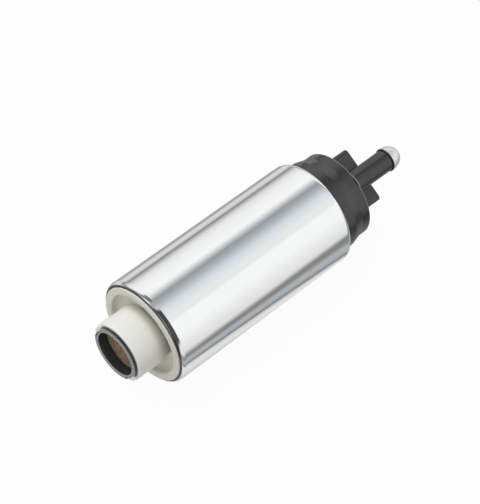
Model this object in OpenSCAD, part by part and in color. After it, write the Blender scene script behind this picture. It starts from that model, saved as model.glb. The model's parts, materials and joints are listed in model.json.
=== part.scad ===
// In-tank fuel pump, lying on its side. +X runs from the inlet mouth to the outlet,
// +Z is the side on which the outlet tube sits. Every piece is drawn standing, with
// its own z along the pump's axis and its own x towards the outlet tube, and laid over.

/* [Shell] */
// Outside diameter of the steel shell
shell_d = 39; // [37:0.5:43]
// Thickness of the shell's sheet
shell_wall = 0.8; // [0.6:0.1:1]
// Outside radius of the rolled ends
roll_r = 1.5; // [1.3:0.1:1.8]
// Angle that each end is rolled through
roll_angle = 80; // [65:5:85]

/* [Inlet cap] */
// Outside diameter of the inlet tube
inlet_tube_d = 22; // [20:0.5:23]
// Length of the inlet tube from its mouth to the face of the rim
inlet_tube_len = 10.6; // [9:0.2:16]
// Wall of the inlet tube round the strainer ring
inlet_wall = 1; // [0.8:0.1:1.4]
// Width of the outer rim's face
rim_w = 2.9; // [2.2:0.1:3.4]
// How far the rim's face stands in front of the shell
rim_proud = 0.5; // [0.2:0.1:1]
// Depth of the dish between the tube and the rim
dish_depth = 2.2; // [1.5:0.1:3]
// Depth of the two deep pockets in the dish
pocket_depth = 5.8; // [4:0.2:6.4]
// Angle that the upper deep pocket spans
pocket_angle = 98; // [60:2:120]
// Angle that the lower deep pocket spans
lower_pocket_angle = 64; // [40:2:120]
// Turn of the deep pockets about the pump's axis
pocket_turn = 11; // [-20:1:30]
// Thickness of the cap from the rim's face to the pump section
inlet_body = 9.8; // [9.4:0.2:14]
// Thickness of the wall between the inlet tube and the pump section
inlet_floor = 5.5; // [4.5:0.1:6]

/* [Strainer] */
// How far the dark ring stands out of the tube's mouth
ring_proud = 1.2; // [0.8:0.1:2]
// Wall of the dark ring
ring_wall = 1.75; // [1.2:0.05:2.2]
// Length of the dark ring
ring_len = 7.9; // [6.4:0.1:9]
// Depth of the screen behind the ring's face
screen_set = 3.9; // [2.5:0.1:5]
// Thickness of the screen
screen_t = 0.4; // [0.3:0.05:0.8]
// Distance from wire to wire in the screen
screen_pitch = 1; // [0.95:0.05:1.6]
// Width of one wire of the screen
wire_w = 0.32; // [0.2:0.02:0.45]
// Width of the keys that stop the ring from turning
key_w = 2.6; // [1.6:0.1:3]

/* [Pump section] */
// Width of the rotors
rotor_w = 6; // [4:0.5:9]
// Lobes on the inner rotor
lobes = 6; // [4:1:7]
// Distance between the two rotors' axes
rotor_shift = 1.2; // [0.8:0.05:1.3]
// Outside diameter of the outer rotor
outer_rotor_d = 28; // [27.6:0.2:29]
// Distance from the outer rotor's rim in to the centres of its teeth
tooth_inset = 2; // [1.6:0.1:2.6]
// Radius of each tooth of the outer rotor
tooth_r = 2.6; // [2:0.1:3]
// Gap between the teeth of the two rotors
rotor_clear = 0.06; // [0.04:0.01:0.1]
// Thickness of the port plate
port_plate_t = 5; // [4:0.2:8]
// Diameter of the locating pins
pin_d = 2; // [1.4:0.1:2.4]
// How deep the locating pins reach into each plate
pin_depth = 3; // [2:0.2:3.6]

/* [Motor] */
// Length of the motor space, port plate to outlet cap
motor_len = 49.8; // [44:0.1:70]
// Diameter of the armature's shaft
shaft_d = 4; // [3.4:0.1:4.2]
// Wall of the steel flux ring
flux_wall = 1.15; // [0.9:0.05:1.4]
// Thickness of the magnets
magnet_t = 4; // [3:0.1:4.4]
// Angle that each magnet spans
magnet_angle = 130; // [110:2:140]
// How far each magnet reaches past each end of the stack
magnet_over = 3; // [1:0.5:4]
// Thickness of the magnet clips' strip
clip_t = 0.5; // [0.4:0.05:0.7]
// Air gap between armature and magnets
air_gap = 0.6; // [0.4:0.05:0.9]
// Winding slots in the stack
slots = 8; // [6:1:10]
// Width of each tooth of the stack
core_tooth_w = 2.8; // [2:0.1:3.2]
// Height of the end turns over each end of the stack
end_turn_h = 4.7; // [3:0.1:5]
// Outside diameter of the commutator
commutator_d = 19.2; // [18.4:0.2:20]
// Thickness of the commutator's carrier
carrier_t = 3.4; // [2.4:0.1:5]
// Thickness of the commutator's copper
segment_t = 1.6; // [1.2:0.1:2.2]
// Free length of brush between the commutator and its well
brush_show = 3.5; // [2:0.1:4.5]

/* [Brushes] */
// Size of a brush along the commutator's radius
brush_w = 4.2; // [3.4:0.1:4.6]
// Size of a brush across the commutator's radius
brush_t = 4; // [3:0.1:4.6]
// Length of a brush
brush_len = 9; // [7.5:0.1:10]
// How far a brush can be pushed back into its well
brush_stroke = 1.5; // [0.5:0.1:2.5]
// Radius of a brush lead
lead_r = 0.5; // [0.35:0.05:0.6]

/* [Outlet cap] */
// Outside diameter of the cap's barrel
cap_d = 32.3; // [31:0.1:33]
// Outside diameter of the cap's foot, just past the shell
foot_d = 34.6; // [34:0.1:35.2]
// Height of the cap above the shell
cap_proud = 12; // [12:0.1:18]
// Height of the foot's straight part above the shell
foot_h = 4.2; // [2:0.1:6]
// Length of the cone from foot to barrel
flare_h = 4.1; // [2:0.1:5]
// Length of the cap's skirt inside the shell
skirt_len = 6.7; // [5.5:0.1:12]
// Thickness of the cap's walls
cap_wall = 2; // [1.6:0.1:2.4]
// Thickness of the cap's end wall
end_wall = 2.3; // [2:0.1:3.2]
// Radius on the cap's outer edge
edge_r = 0.3; // [0.3:0.1:1]

/* [Outlet tube] */
// Outside diameter of the outlet tube
tube_d = 7.9; // [7.4:0.1:8.6]
// Wall of the outlet tube
tube_wall = 1.05; // [0.9:0.05:1.3]
// Distance from the pump's axis to the tube's axis
tube_offset = 12; // [11.5:0.1:12.4]
// Length of the outlet tube above the cap
tube_len = 16.8; // [16:0.1:26]
// Diameter of the barb ring at the tube's end
barb_d = 8.8; // [8.8:0.1:10]
// Thickness of the barb ring
barb_t = 0.5; // [0.5:0.1:1.2]
// Diameter of the metal tip
tip_d = 8.6; // [8:0.1:9]
// Height of the metal tip's dome
tip_h = 4.6; // [2.8:0.1:5.2]
// Depth that the tip's shank is pressed into the tube
shank_len = 5; // [3:0.1:7]
// Diameter of the hole through the tip
tip_bore_d = 3.4; // [2.6:0.1:3.8]

/* [Connector] */
// Outside width of the connector shroud
shroud_w = 21; // [18:0.2:22]
// Outside depth of the connector shroud
shroud_d = 11; // [9.5:0.1:11.4]
// Height of the connector shroud above the cap
shroud_h = 9.4; // [7:0.1:12]
// Shift of the connector towards the pump's left side
shroud_shift = 0.5; // [0:0.1:1]
// Wall of the connector shroud
shroud_wall = 1.2; // [0.9:0.1:1.5]
// Outer corner radius of the shroud
shroud_corner_r = 1.5; // [1:0.1:2]
// Gap between the shroud and the outlet tube
shroud_gap = 1.05; // [0.6:0.05:2]
// Distance between the two terminal blades
blade_pitch = 10; // [8.4:0.1:11]
// Width of a terminal blade
blade_w = 2.8; // [2:0.1:3.2]
// Thickness of a terminal blade
blade_t = 0.8; // [0.6:0.1:1]
// How far the shroud stands over the blades
blade_below = 1.5; // [0.8:0.1:3]

/* [Valves] */
// Diameter of the check valve's seat
check_seat_d = 4; // [3.2:0.1:4.4]
// Diameter of the check valve's head
check_head_d = 5.2; // [4.9:0.05:5.3]
// Lift of the check valve
check_lift = 2.5; // [1:0.1:3.5]
// Diameter of the relief valve's ball
ball_d = 3.2; // [2.8:0.1:3.5]
// Diameter of the relief valve's seat
ball_seat_d = 2; // [1.4:0.1:2.2]
// Diameter of the relief valve's chamber
relief_bore_d = 3.8; // [3.7:0.1:4.2]
// Lift of the relief valve
relief_lift = 1.5; // [0.8:0.1:2]

/* [Hidden] */
$fn = 96;
eps = 0.01;
cut = 1;

// Clearances
push_fit = 0.05;     // round pieces that are pushed into the shell or a bore
press = 0.01;        // pieces pressed on the shaft or into their seats
running = 0.03;      // shaft in its bearings
cam_running = 0.06;  // outer rotor in the cam ring
side_clear = 0.05;   // rotors between their plates
thrust_gap = 0.1;    // end play of the armature
slide_fit = 0.08;    // brushes in their wells

// Radii that follow from the driving sizes
shell_r = shell_d / 2;
bore_r = shell_r - shell_wall;
stack_r = bore_r - push_fit;
roll_in_r = roll_r - shell_wall;
roll_centre_r = shell_r - roll_r;
rim_r = roll_centre_r + roll_in_r * cos(roll_angle) - push_fit;
tube_r = inlet_tube_d / 2;
seat_r = tube_r - inlet_wall;
ring_r = seat_r - push_fit;
ring_bore_r = ring_r - ring_wall;
screen_r = ring_bore_r + 0.3;
inlet_bore_r = ring_bore_r + 1.1;
dish_r = rim_r - rim_w;
tooth_circle_r = outer_rotor_d / 2 - tooth_inset;
shaft_r = shaft_d / 2;
bush_r = shaft_r + 1.2;
flux_in_r = stack_r - flux_wall;
magnet_r = flux_in_r - push_fit;
magnet_in_r = magnet_r - magnet_t;
core_r = magnet_in_r - air_gap;
commutator_r = commutator_d / 2;
segment_in_r = brush_in_r() - 0.6;
cap_r = cap_d / 2;
foot_r = foot_d / 2;
outlet_r = tube_d / 2;
outlet_bore_r = outlet_r - tube_wall;

// Stations along the axis, from the ring's face
mouth_z = ring_proud;
rim_z = mouth_z + inlet_tube_len;
shell_z0 = rim_z + rim_proud;
dish_z = rim_z + dish_depth;
pocket_z = rim_z + pocket_depth;
collar_z = dish_z - 0.6;
pump_z0 = rim_z + inlet_body;
bore_end_z = pump_z0 - inlet_floor;
pump_z1 = pump_z0 + rotor_w + 2 * side_clear;
motor_z0 = pump_z1 + port_plate_t;
motor_z1 = motor_z0 + motor_len;
shell_z1 = motor_z1 + skirt_len + roll_r;
cap_z = shell_z1 + cap_proud;
inside_z = cap_z - end_wall;
tube_z = cap_z + tube_len;
tip_z = tube_z + tip_h;
shroud_z = cap_z + shroud_h;

// Armature stations
washer_t = 0.8;
insulator_t = 0.8;
lead_gap = 0.5;
wash_z = motor_z0 + thrust_gap;
core_z0 = wash_z + washer_t + 3.5 + end_turn_h + insulator_t;
commutator_z = motor_z1 - brush_show - 0.5;
carrier_z = commutator_z - segment_t - carrier_t;
core_z1 = carrier_z - lead_gap - end_turn_h - insulator_t;
pad_t = 0.8;
pad_z = pump_z0 - 3;
shaft_z0 = pad_z + pad_t + press;
bush_len = 5.5;
bush_z = motor_z1 + 1;
shaft_z1 = bush_z + bush_len - 1;

// Brushes, leads and terminals
brush_mid = commutator_r - 0.2 - brush_w / 2;
function brush_in_r() = commutator_d / 2 - 0.2 - brush_w;
well_gap = slide_fit;
well_wall = 1.1;
spring_room = 7;
well_z0 = motor_z1 - 0.5;
well_z1 = well_z0 + brush_len + spring_room;
brush_z = commutator_z + 0.03;
spring_z0 = brush_z + brush_len + 0.05;
tower_x = brush_t / 2 + well_gap + well_wall;
tower_y = brush_mid + brush_w / 2 + well_gap + well_wall;
lead_slot_z = brush_z + brush_len - 3;
shroud_x = tube_offset - outlet_r - shroud_gap - shroud_d / 2;
jog_z = inside_z + 0.6;
tail_x = tower_x + 1.1;
tail_z = well_z1 - 3.5;
blade_z = shroud_z - blade_below;

// Check valve
check_cone = outlet_bore_r - check_seat_d / 2;
check_seat_z = cap_z - 0.4;
shank_z = tube_z - shank_len;
shank_r = outlet_bore_r - press;
seat_gap = 0.03;
head_r = check_head_d / 2;
head_tip_r = check_seat_d / 2 - 0.3;
head_z = check_seat_z - (check_seat_d / 2 - head_tip_r) + seat_gap * sqrt(2);
head_land = 1;
head_back_z = head_z + head_r - head_tip_r + head_land;
stem_r = 0.9;
stem_len = shank_z - head_back_z - check_lift - 0.3;

// Relief valve
relief_x = -11;
relief_r = relief_bore_d / 2;
relief_wall = 1.2;
relief_boss = 8.5;
relief_z0 = inside_z - relief_boss - relief_lift;
relief_seat_z = relief_z0 + 2;
ball_r = ball_d / 2;
ball_z = relief_seat_z - ball_seat_d / 2 + (ball_r + seat_gap) * sqrt(2);
plug_z = inside_z - 0.4;

// Springs: mean radius, wire radius and curls
brush_coil_r = min(brush_w, brush_t) / 2 - 0.45;
brush_wire_r = 0.2;
brush_curls = 7;
check_coil_r = (tip_bore_d / 2 + shank_r) / 2;
check_wire_r = 0.25;
check_curls = 7;
relief_coil_r = ball_r * 0.72;
relief_wire_r = 0.18;
relief_curls = 5;
rings_per_curl = 8;
wire_sides = 6;

// Points on an arc in the plane of a profile
function arc(c, r, from, to, n = 8) =
    [for (i = [0 : n]) let (a = from + (to - from) * i / n) c + r * [cos(a), sin(a)]];

// Points of a helix that climbs from z0 to z1
function helix(r, z0, z1, curls) = [for (i = [0 : curls * rings_per_curl])
    let (t = i / (curls * rings_per_curl), a = 360 * curls * t)
    [r * cos(a), r * sin(a), z0 + (z1 - z0) * t]];

// Least gap between one curl and the next, measured on the helix's points
function least_gap(p, wire_r) =
    min([for (i = [0 : len(p) - 1 - rings_per_curl]) norm(p[i + rings_per_curl] - p[i])])
    - 2 * wire_r;

// Direction of a route at its point i
function heading(p, i) =
    let (d = p[min(i + 1, len(p) - 1)] - p[max(i - 1, 0)]) d / norm(d);

// Laying a standing piece over: its z becomes +X and its x becomes +Z
module lay() {
    rotate([0, 90, 0]) rotate([0, 0, 180]) children();
}

// Ring between two radii and two stations
module ring(r_in, r_out, z0, z1) {
    rotate_extrude() translate([r_in, z0]) square([r_out - r_in, z1 - z0]);
}

// Rod of one radius between two stations
module rod(r, z0, z1) {
    translate([0, 0, z0]) cylinder(r = r, h = z1 - z0);
}

// Part of a ring, centred on the angle at
module ring_part(r_in, r_out, z0, z1, span, at = 0) {
    rotate([0, 0, at - span / 2]) rotate_extrude(angle = span)
        translate([r_in, z0]) square([r_out - r_in, z1 - z0]);
}

// Block between two corners
module block(a, b) {
    translate(a) cube(b - a);
}

// Tube of radius r swept along the points p; up is never along the route
module sweep(p, r, sides, up) {
    n = len(p);
    rings = [for (i = [0 : n - 1])
        let (t = heading(p, i), u = cross(up, t) / norm(cross(up, t)), v = cross(t, u))
        for (k = [0 : sides - 1]) p[i] + r * (cos(360 * k / sides) * u + sin(360 * k / sides) * v)];
    walls = [for (i = [0 : n - 2], k = [0 : sides - 1])
        let (a = i * sides + k, b = i * sides + (k + 1) % sides)
        each [[a, a + sides, b + sides], [a, b + sides, b]]];
    ends = [[for (k = [0 : sides - 1]) k],
        [for (k = [sides - 1 : -1 : 0]) (n - 1) * sides + k]];
    polyhedron(points = rings, faces = concat(walls, ends), convexity = 6);
}

// Rectangle with round corners
module round_rect(w, d, r) {
    square([w - 2 * r, d], center = true);
    square([w, d - 2 * r], center = true);
    for (x = [-1, 1], y = [-1, 1]) translate([x * (w / 2 - r), y * (d / 2 - r)]) circle(r = r);
}

// Profile of the shell: straight wall with both ends rolled in
module shell_profile() {
    near = [roll_centre_r, shell_z0 + roll_r];
    far = [roll_centre_r, shell_z1 - roll_r];
    polygon(concat(
        arc(near, roll_r, -roll_angle, 0),
        arc(far, roll_r, 0, roll_angle),
        arc(far, roll_in_r, roll_angle, 0),
        arc(near, roll_in_r, 0, -roll_angle)));
}

module shell() {
    color("gainsboro") lay() rotate_extrude() shell_profile();
}

// Pattern of the rotors' ports: a kidney on the side named by side, 1 or -1
module kidney(r_in, r_out, z0, z1, side) {
    ring_part(r_in, r_out, z0, z1, 112, side * 90);
}

// Outline of the inlet cap, revolved
module inlet_profile() {
    lip = 0.4;
    soft_lip = 0.7;
    root = 1.6;
    corner = 1.2;
    root_r = tube_r - 0.2;
    shoulder = stack_r - rim_r;
    polygon(concat(
        [[seat_r, mouth_z]],
        arc([tube_r - lip, mouth_z + lip], lip, -90, 0, 4),
        [[tube_r, collar_z], [root_r, collar_z]],
        arc([root_r + root, pocket_z - root], root, 180, 90, 5),
        arc([dish_r - corner, pocket_z - corner], corner, 90, 0, 5),
        arc([dish_r + soft_lip, rim_z + soft_lip], soft_lip, 180, 270, 4),
        arc([rim_r - lip, rim_z + lip], lip, -90, 0, 4),
        [[rim_r, shell_z0 + roll_r - shoulder], [stack_r, shell_z0 + roll_r + push_fit],
            [stack_r, pump_z0], [0, pump_z0], [0, bore_end_z], [inlet_bore_r, bore_end_z],
            [inlet_bore_r, ring_len + push_fit], [seat_r, ring_len + push_fit]]));
}

// Keys at the tube's mouth and the notches for them in the ring
key_reach = 0.9;
module keys(grow) {
    front = min(0.3, ring_proud / 2);
    for (s = [-1, 1])
        block([-key_w / 2 - grow, s > 0 ? ring_r - key_reach - grow : -tube_r + 0.3, front - grow],
            [key_w / 2 + grow, s > 0 ? tube_r - 0.3 : key_reach + grow - ring_r, mouth_z + 1.2 + grow]);
}

// Where the locating pins stand, across from the rotors' offset
module at_pins() {
    pin_r = (sqrt(pow(outer_rotor_d / 2, 2) - pow(rotor_shift, 2)) + stack_r) / 2;
    for (s = [-1, 1]) translate([0, s * pin_r, 0]) children();
}

// Cap with its two shallow floors standing between the deep pockets of the dish
module inlet_cap() {
    overlap = 0.4;
    color("whitesmoke") lay() {
        difference() {
            rotate_extrude() inlet_profile();
            kidney(inlet_bore_r - 2.4, inlet_bore_r - eps, bore_end_z - cut, pump_z0 + cut, 1);
            kidney(inlet_bore_r - 2.4, tooth_circle_r - 0.8, pump_z0 - 1.6, pump_z0 + cut, 1);
            rod(shaft_r + 0.4, pad_z, pump_z0 + cut);
            at_pins() rod(pin_d / 2 + press, pump_z0 - pin_depth, pump_z0 + cut);
        }
        for (s = [-1, 1])
            ring_part(tube_r - overlap, dish_r + overlap, dish_z, pocket_z + overlap,
                180 - (pocket_angle + lower_pocket_angle) / 2,
                pocket_turn + s * (90 + (pocket_angle - lower_pocket_angle) / 4));
        intersection() {
            keys(0);
            ring(ring_r - key_reach, tube_r - 0.3, 0, mouth_z + overlap);
        }
    }
}

module strainer_ring() {
    lip = 0.35;
    groove_z = screen_set - 0.3;
    ledge_z = screen_set + screen_t + press;
    color("dimgray") lay() difference() {
        rotate_extrude() polygon(concat(
            arc([ring_bore_r + lip, lip], lip, 180, 270, 4),
            arc([ring_r - lip, lip], lip, -90, 0, 4),
            [[ring_r, ring_len], [ring_bore_r - 0.9, ring_len], [ring_bore_r - 0.9, ledge_z],
                [screen_r + press, ledge_z], [screen_r + press, groove_z],
                [ring_bore_r, groove_z]]));
        keys(0.1);
    }
}

module inlet_screen() {
    hoop_r = ring_bore_r - 0.5;
    half = ceil(hoop_r / screen_pitch);
    hole = screen_pitch - wire_w;
    color("darkgoldenrod") lay() translate([0, 0, screen_set]) linear_extrude(screen_t)
        difference() {
            circle(r = screen_r);
            for (i = [-half : half], j = [-half : half])
                if (norm([abs(i) + 0.5, abs(j) + 0.5]) * screen_pitch < hoop_r)
                    translate([i, j] * screen_pitch) square(hole, center = true);
        }
}

module cam_ring() {
    color("slategray") lay() difference() {
        rod(stack_r, pump_z0, pump_z1);
        translate([rotor_shift, 0, 0])
            rod(outer_rotor_d / 2 + cam_running, pump_z0 - cut, pump_z1 + cut);
        at_pins() rod(pin_d / 2 + press, pump_z0 - cut, pump_z1 + cut);
    }
}

// Path of the outer teeth's centres round the inner rotor, and its slope
function path(t) = tooth_circle_r * [cos(t), sin(t)]
    + rotor_shift * [cos((lobes + 1) * t), sin((lobes + 1) * t)];
function slope(t) = tooth_circle_r * [-sin(t), cos(t)]
    + rotor_shift * (lobes + 1) * [-sin((lobes + 1) * t), cos((lobes + 1) * t)];
function flank(t) = let (s = slope(t) / norm(slope(t)))
    path(t) + (tooth_r + rotor_clear) * [-s[1], s[0]];

module inner_rotor() {
    steps = 30 * lobes;
    color("darkgray") lay() translate([0, 0, pump_z0 + side_clear])
        linear_extrude(rotor_w) difference() {
            polygon([for (i = [0 : steps - 1]) flank(360 * i / steps)]);
            shaft_section(2 * press);
        }
}

// Section of the shaft's driving end, round with one flat
module shaft_section(grow) {
    difference() {
        circle(r = shaft_r + grow);
        translate([-2 * shaft_r, 0.6 * shaft_r + grow]) square(4 * shaft_r);
    }
}

module outer_rotor() {
    teeth = lobes + 1;
    root_r = tooth_circle_r + 2 * rotor_shift - tooth_r + 0.1;
    color("gray") lay() translate([rotor_shift, 0, pump_z0 + side_clear])
        linear_extrude(rotor_w) difference() {
            circle(r = outer_rotor_d / 2);
            difference() {
                circle(r = root_r);
                for (i = [0 : teeth - 1])
                    rotate(360 * i / teeth) translate([tooth_circle_r, 0]) circle(r = tooth_r);
            }
        }
}

module port_plate() {
    color("slategray") lay() difference() {
        rod(stack_r, pump_z1, motor_z0);
        rod(bush_r + press, pump_z1 - cut, motor_z0 + cut);
        kidney(tooth_circle_r - tooth_r - 1.6, tooth_circle_r - 0.8, pump_z1 - cut, motor_z0 + cut, -1);
        kidney(tooth_circle_r - tooth_r - 1.6, tooth_circle_r - 0.8, pump_z1 - cut, pump_z1 + 1.2, 1);
        at_pins() rod(pin_d / 2 + press, pump_z1 - cut, pump_z1 + pin_depth);
    }
}

module locating_pins() {
    color("silver") lay() at_pins()
        rod(pin_d / 2, pump_z0 - pin_depth + press, pump_z1 + pin_depth - press);
}

module thrust_pad() {
    color("lightslategray") lay() rod(shaft_r + 0.3, pad_z, pad_z + pad_t);
}

module lower_bearing() {
    color("peru") lay() ring(shaft_r + running, bush_r, pump_z1, motor_z0);
}

module upper_bearing() {
    color("peru") lay() ring(shaft_r + running, bush_r, bush_z, bush_z + bush_len);
}

module armature_shaft() {
    bevel = 0.4;
    color("silver") lay() difference() {
        rotate_extrude() polygon([[0, shaft_z0], [shaft_r - bevel, shaft_z0],
            [shaft_r, shaft_z0 + bevel], [shaft_r, shaft_z1 - bevel],
            [shaft_r - bevel, shaft_z1], [0, shaft_z1]]);
        block([-2 * shaft_r, 0.6 * shaft_r, shaft_z0 - cut],
            [2 * shaft_r, 2 * shaft_r, pump_z1 - side_clear]);
    }
}

module thrust_washer() {
    color("khaki") lay() ring(shaft_r + press, bush_r + 0.8, wash_z, wash_z + washer_t);
}

// Outline of one lamination
module lamination(r) {
    slot_root_r = shaft_r + 4;
    rim = 1.4;
    mouth_w = 1.6;
    half_in = slot_root_r * sin(180 / slots) - core_tooth_w / 2;
    half_out = (r - rim) * sin(180 / slots) - core_tooth_w / 2;
    difference() {
        circle(r = r);
        for (i = [0 : slots - 1]) rotate(360 * (i + 0.5) / slots) {
            polygon([[slot_root_r, -half_in], [r - rim, -half_out], [r - rim, half_out],
                [slot_root_r, half_in]]);
            translate([r - rim - eps, -mouth_w / 2]) square([rim + cut, mouth_w]);
        }
    }
}

module armature_core() {
    color("dimgray") lay() difference() {
        translate([0, 0, core_z0]) linear_extrude(core_z1 - core_z0) lamination(core_r);
        rod(shaft_r + press, core_z0 - cut, core_z1 + cut);
    }
}

module slot_insulator() {
    sleeve_r = shaft_r + 2.4;
    color("darkolivegreen") lay() {
        difference() {
            union() {
                translate([0, 0, core_z0 - insulator_t]) linear_extrude(insulator_t)
                    lamination(core_r - 0.4);
                rod(sleeve_r, wash_z + washer_t + press, core_z0);
            }
            rod(shaft_r + press, wash_z, core_z0 + cut);
        }
        difference() {
            union() {
                translate([0, 0, core_z1]) linear_extrude(insulator_t) lamination(core_r - 0.4);
                rod(sleeve_r, core_z1, carrier_z - press);
            }
            rod(shaft_r + press, core_z1 - cut, carrier_z + cut);
        }
    }
}

// One crown of end turns between two stations
module end_turns(z0, z1) {
    in_r = shaft_r + 2.5;
    out_r = core_r - 1.6;
    edge = 1.2;
    difference() {
        rotate_extrude() polygon(concat(
            arc([out_r - edge, z0 + edge], edge, -90, 0, 4),
            arc([out_r - edge, z1 - edge], edge, 0, 90, 4),
            arc([in_r + edge, z1 - edge], edge, 90, 180, 4),
            arc([in_r + edge, z0 + edge], edge, 180, 270, 4)));
        for (i = [0 : slots - 1]) rotate(360 * i / slots)
            block([out_r - 1.4, -0.35, z0 - cut], [out_r + cut, 0.35, z1 + cut]);
    }
}

module windings() {
    root_r = shaft_r + 4.3;
    top_r = core_r - 2;
    half_in = root_r * sin(180 / slots) - core_tooth_w / 2 - 0.15;
    half_out = top_r * sin(180 / slots) - core_tooth_w / 2 - 0.25;
    crown_0 = core_z0 - insulator_t - press;
    crown_1 = core_z1 + insulator_t + press;
    color("chocolate") lay() {
        for (i = [0 : slots - 1]) rotate([0, 0, 360 * (i + 0.5) / slots])
            translate([0, 0, crown_0 - cut]) linear_extrude(crown_1 - crown_0 + 2 * cut)
                polygon([[root_r, -half_in], [top_r, -half_out], [top_r, half_out],
                    [root_r, half_in]]);
        end_turns(crown_0 - end_turn_h + cut, crown_0);
        end_turns(crown_1, crown_1 + end_turn_h - cut);
    }
}

module commutator_hub() {
    color("saddlebrown") lay() {
        ring(shaft_r + press, commutator_r, carrier_z, carrier_z + carrier_t);
        ring(shaft_r + press, segment_in_r - press, carrier_z, commutator_z - 0.3);
    }
}

module commutator_segments() {
    gap = 0.6;
    tang_w = 1.4;
    tang_r = commutator_r + 1;
    z0 = carrier_z + carrier_t + press;
    color("orange") lay() for (i = [0 : slots - 1]) rotate([0, 0, 360 * i / slots]) {
        difference() {
            ring_part(segment_in_r, commutator_r, z0, commutator_z, 360 / slots + 2);
            for (s = [-1, 1]) rotate([0, 0, s * 180 / slots])
                block([0, s > 0 ? -gap / 2 : -2 * gap, z0 - cut],
                    [2 * commutator_r, s > 0 ? 2 * gap : gap / 2, commutator_z + cut]);
        }
        block([commutator_r - 0.5, -tang_w / 2, z0], [tang_r, tang_w / 2, z0 + 0.8]);
        block([tang_r - 0.8, -tang_w / 2, z0 - 1.4], [tang_r, tang_w / 2, z0 + 0.8]);
    }
}

// Magnet on one side, 1 or -1 across the pump
module magnet(side) {
    ring_part(magnet_in_r, magnet_r, core_z0 - magnet_over, core_z1 + magnet_over,
        magnet_angle, side * 90);
}

module magnet_left() {
    color("darkslategray") lay() magnet(-1);
}

module magnet_right() {
    color("darkslategray") lay() magnet(1);
}

module magnet_clips() {
    span = 180 - magnet_angle - 0.6;
    leg_angle = clip_t / magnet_in_r * 180 / PI;
    z0 = core_z0 - magnet_over + 1;
    z1 = core_z1 + magnet_over - 1;
    color("lightsteelblue") lay() for (a = [0, 180]) difference() {
        ring_part(magnet_in_r + 0.6, magnet_r, z0, z1, span, a);
        ring_part(magnet_in_r - cut, magnet_r - clip_t, z0 - cut, z1 + cut, span - 2 * leg_angle, a);
    }
}

module flux_ring() {
    color("lightslategray") lay() ring(flux_in_r, stack_r, motor_z0, motor_z1);
}

// Brush on one side, resting on the commutator
module brush(side) {
    difference() {
        block([-brush_t / 2, side * brush_mid - brush_w / 2, brush_z],
            [brush_t / 2, side * brush_mid + brush_w / 2, brush_z + brush_len]);
        translate([0, side * brush_mid, brush_z + brush_len - 0.3]) cylinder(r = 0.7, h = cut);
    }
}

module brush_left() {
    color("black") lay() brush(-1);
}

module brush_right() {
    color("black") lay() brush(1);
}

brush_coil = helix(brush_coil_r, spring_z0 + brush_wire_r, well_z1 - brush_wire_r - 0.03, brush_curls);
check_coil = helix(check_coil_r, head_back_z + check_wire_r + 0.03,
    shank_z - check_wire_r - 0.03, check_curls);
relief_top_z = ball_z + sqrt(ball_r * ball_r - relief_coil_r * relief_coil_r);
relief_coil = helix(relief_coil_r, relief_top_z + relief_wire_r + 0.1,
    plug_z - relief_wire_r - 0.03, relief_curls);
echo("least gap in a brush spring", least_gap(brush_coil, brush_wire_r));
echo("least gap in the check spring", least_gap(check_coil, check_wire_r));
echo("least gap in the relief spring", least_gap(relief_coil, relief_wire_r));

module brush_spring(side) {
    translate([0, side * brush_mid, 0]) sweep(brush_coil, brush_wire_r, wire_sides, [0, 0, 1]);
}

module brush_spring_left() {
    color("silver") lay() brush_spring(-1);
}

module brush_spring_right() {
    color("silver") lay() brush_spring(1);
}

// Lead from the brush's face, out through the well's slot and up to the terminal's tail
module brush_lead(side) {
    start = [brush_t / 2 + press, side * brush_mid, lead_slot_z];
    end = [tail_x + blade_t / 2, side * blade_pitch / 2 - shroud_shift, tail_z - press];
    route = [start, start + [1, 0, 0.1], start + [2, 0, 0.7],
        [tail_x + 0.5, side * (brush_mid - 0.3), lead_slot_z + 2.4],
        [tail_x + 0.6, side * (brush_mid - 1.1), (lead_slot_z + tail_z) / 2 + 1],
        end - [0, 0, 1.6], end - [0, 0, 0.6], end];
    sweep(route, lead_r, 8, [0, 1, 0]);
}

module brush_lead_left() {
    color("sienna") lay() brush_lead(-1);
}

module brush_lead_right() {
    color("sienna") lay() brush_lead(1);
}

// Blade with its jog through the cap's end wall and its tail beside the brush well
module terminal(side, grow) {
    y = side * blade_pitch / 2 - shroud_shift;
    x0 = shroud_x - blade_w / 2;
    block([x0 - grow, y - blade_t / 2 - grow, jog_z - grow],
        [x0 + blade_w + grow, y + blade_t / 2 + grow, blade_z]);
    block([min(x0, tail_x) - grow, y - blade_t / 2 - grow, jog_z - grow],
        [tail_x + blade_t + grow, y + blade_t / 2 + grow, jog_z + blade_t + grow]);
    block([tail_x - grow, y - 1.2 - grow, tail_z],
        [tail_x + blade_t + grow, y + 1.2 + grow, jog_z + blade_t + grow]);
}

module terminal_left() {
    color("lightgray") lay() terminal(-1, 0);
}

module terminal_right() {
    color("lightgray") lay() terminal(1, 0);
}

// The cap's seal lies in a groove round the skirt
seal_r = 0.85;
seal_z = motor_z1 + skirt_len / 2;
groove_r = bore_r - 2 * seal_r - press;

module cap_seal() {
    color("darkred") lay() rotate_extrude() translate([bore_r - seal_r - press, seal_z])
        circle(r = seal_r - press);
}

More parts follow.
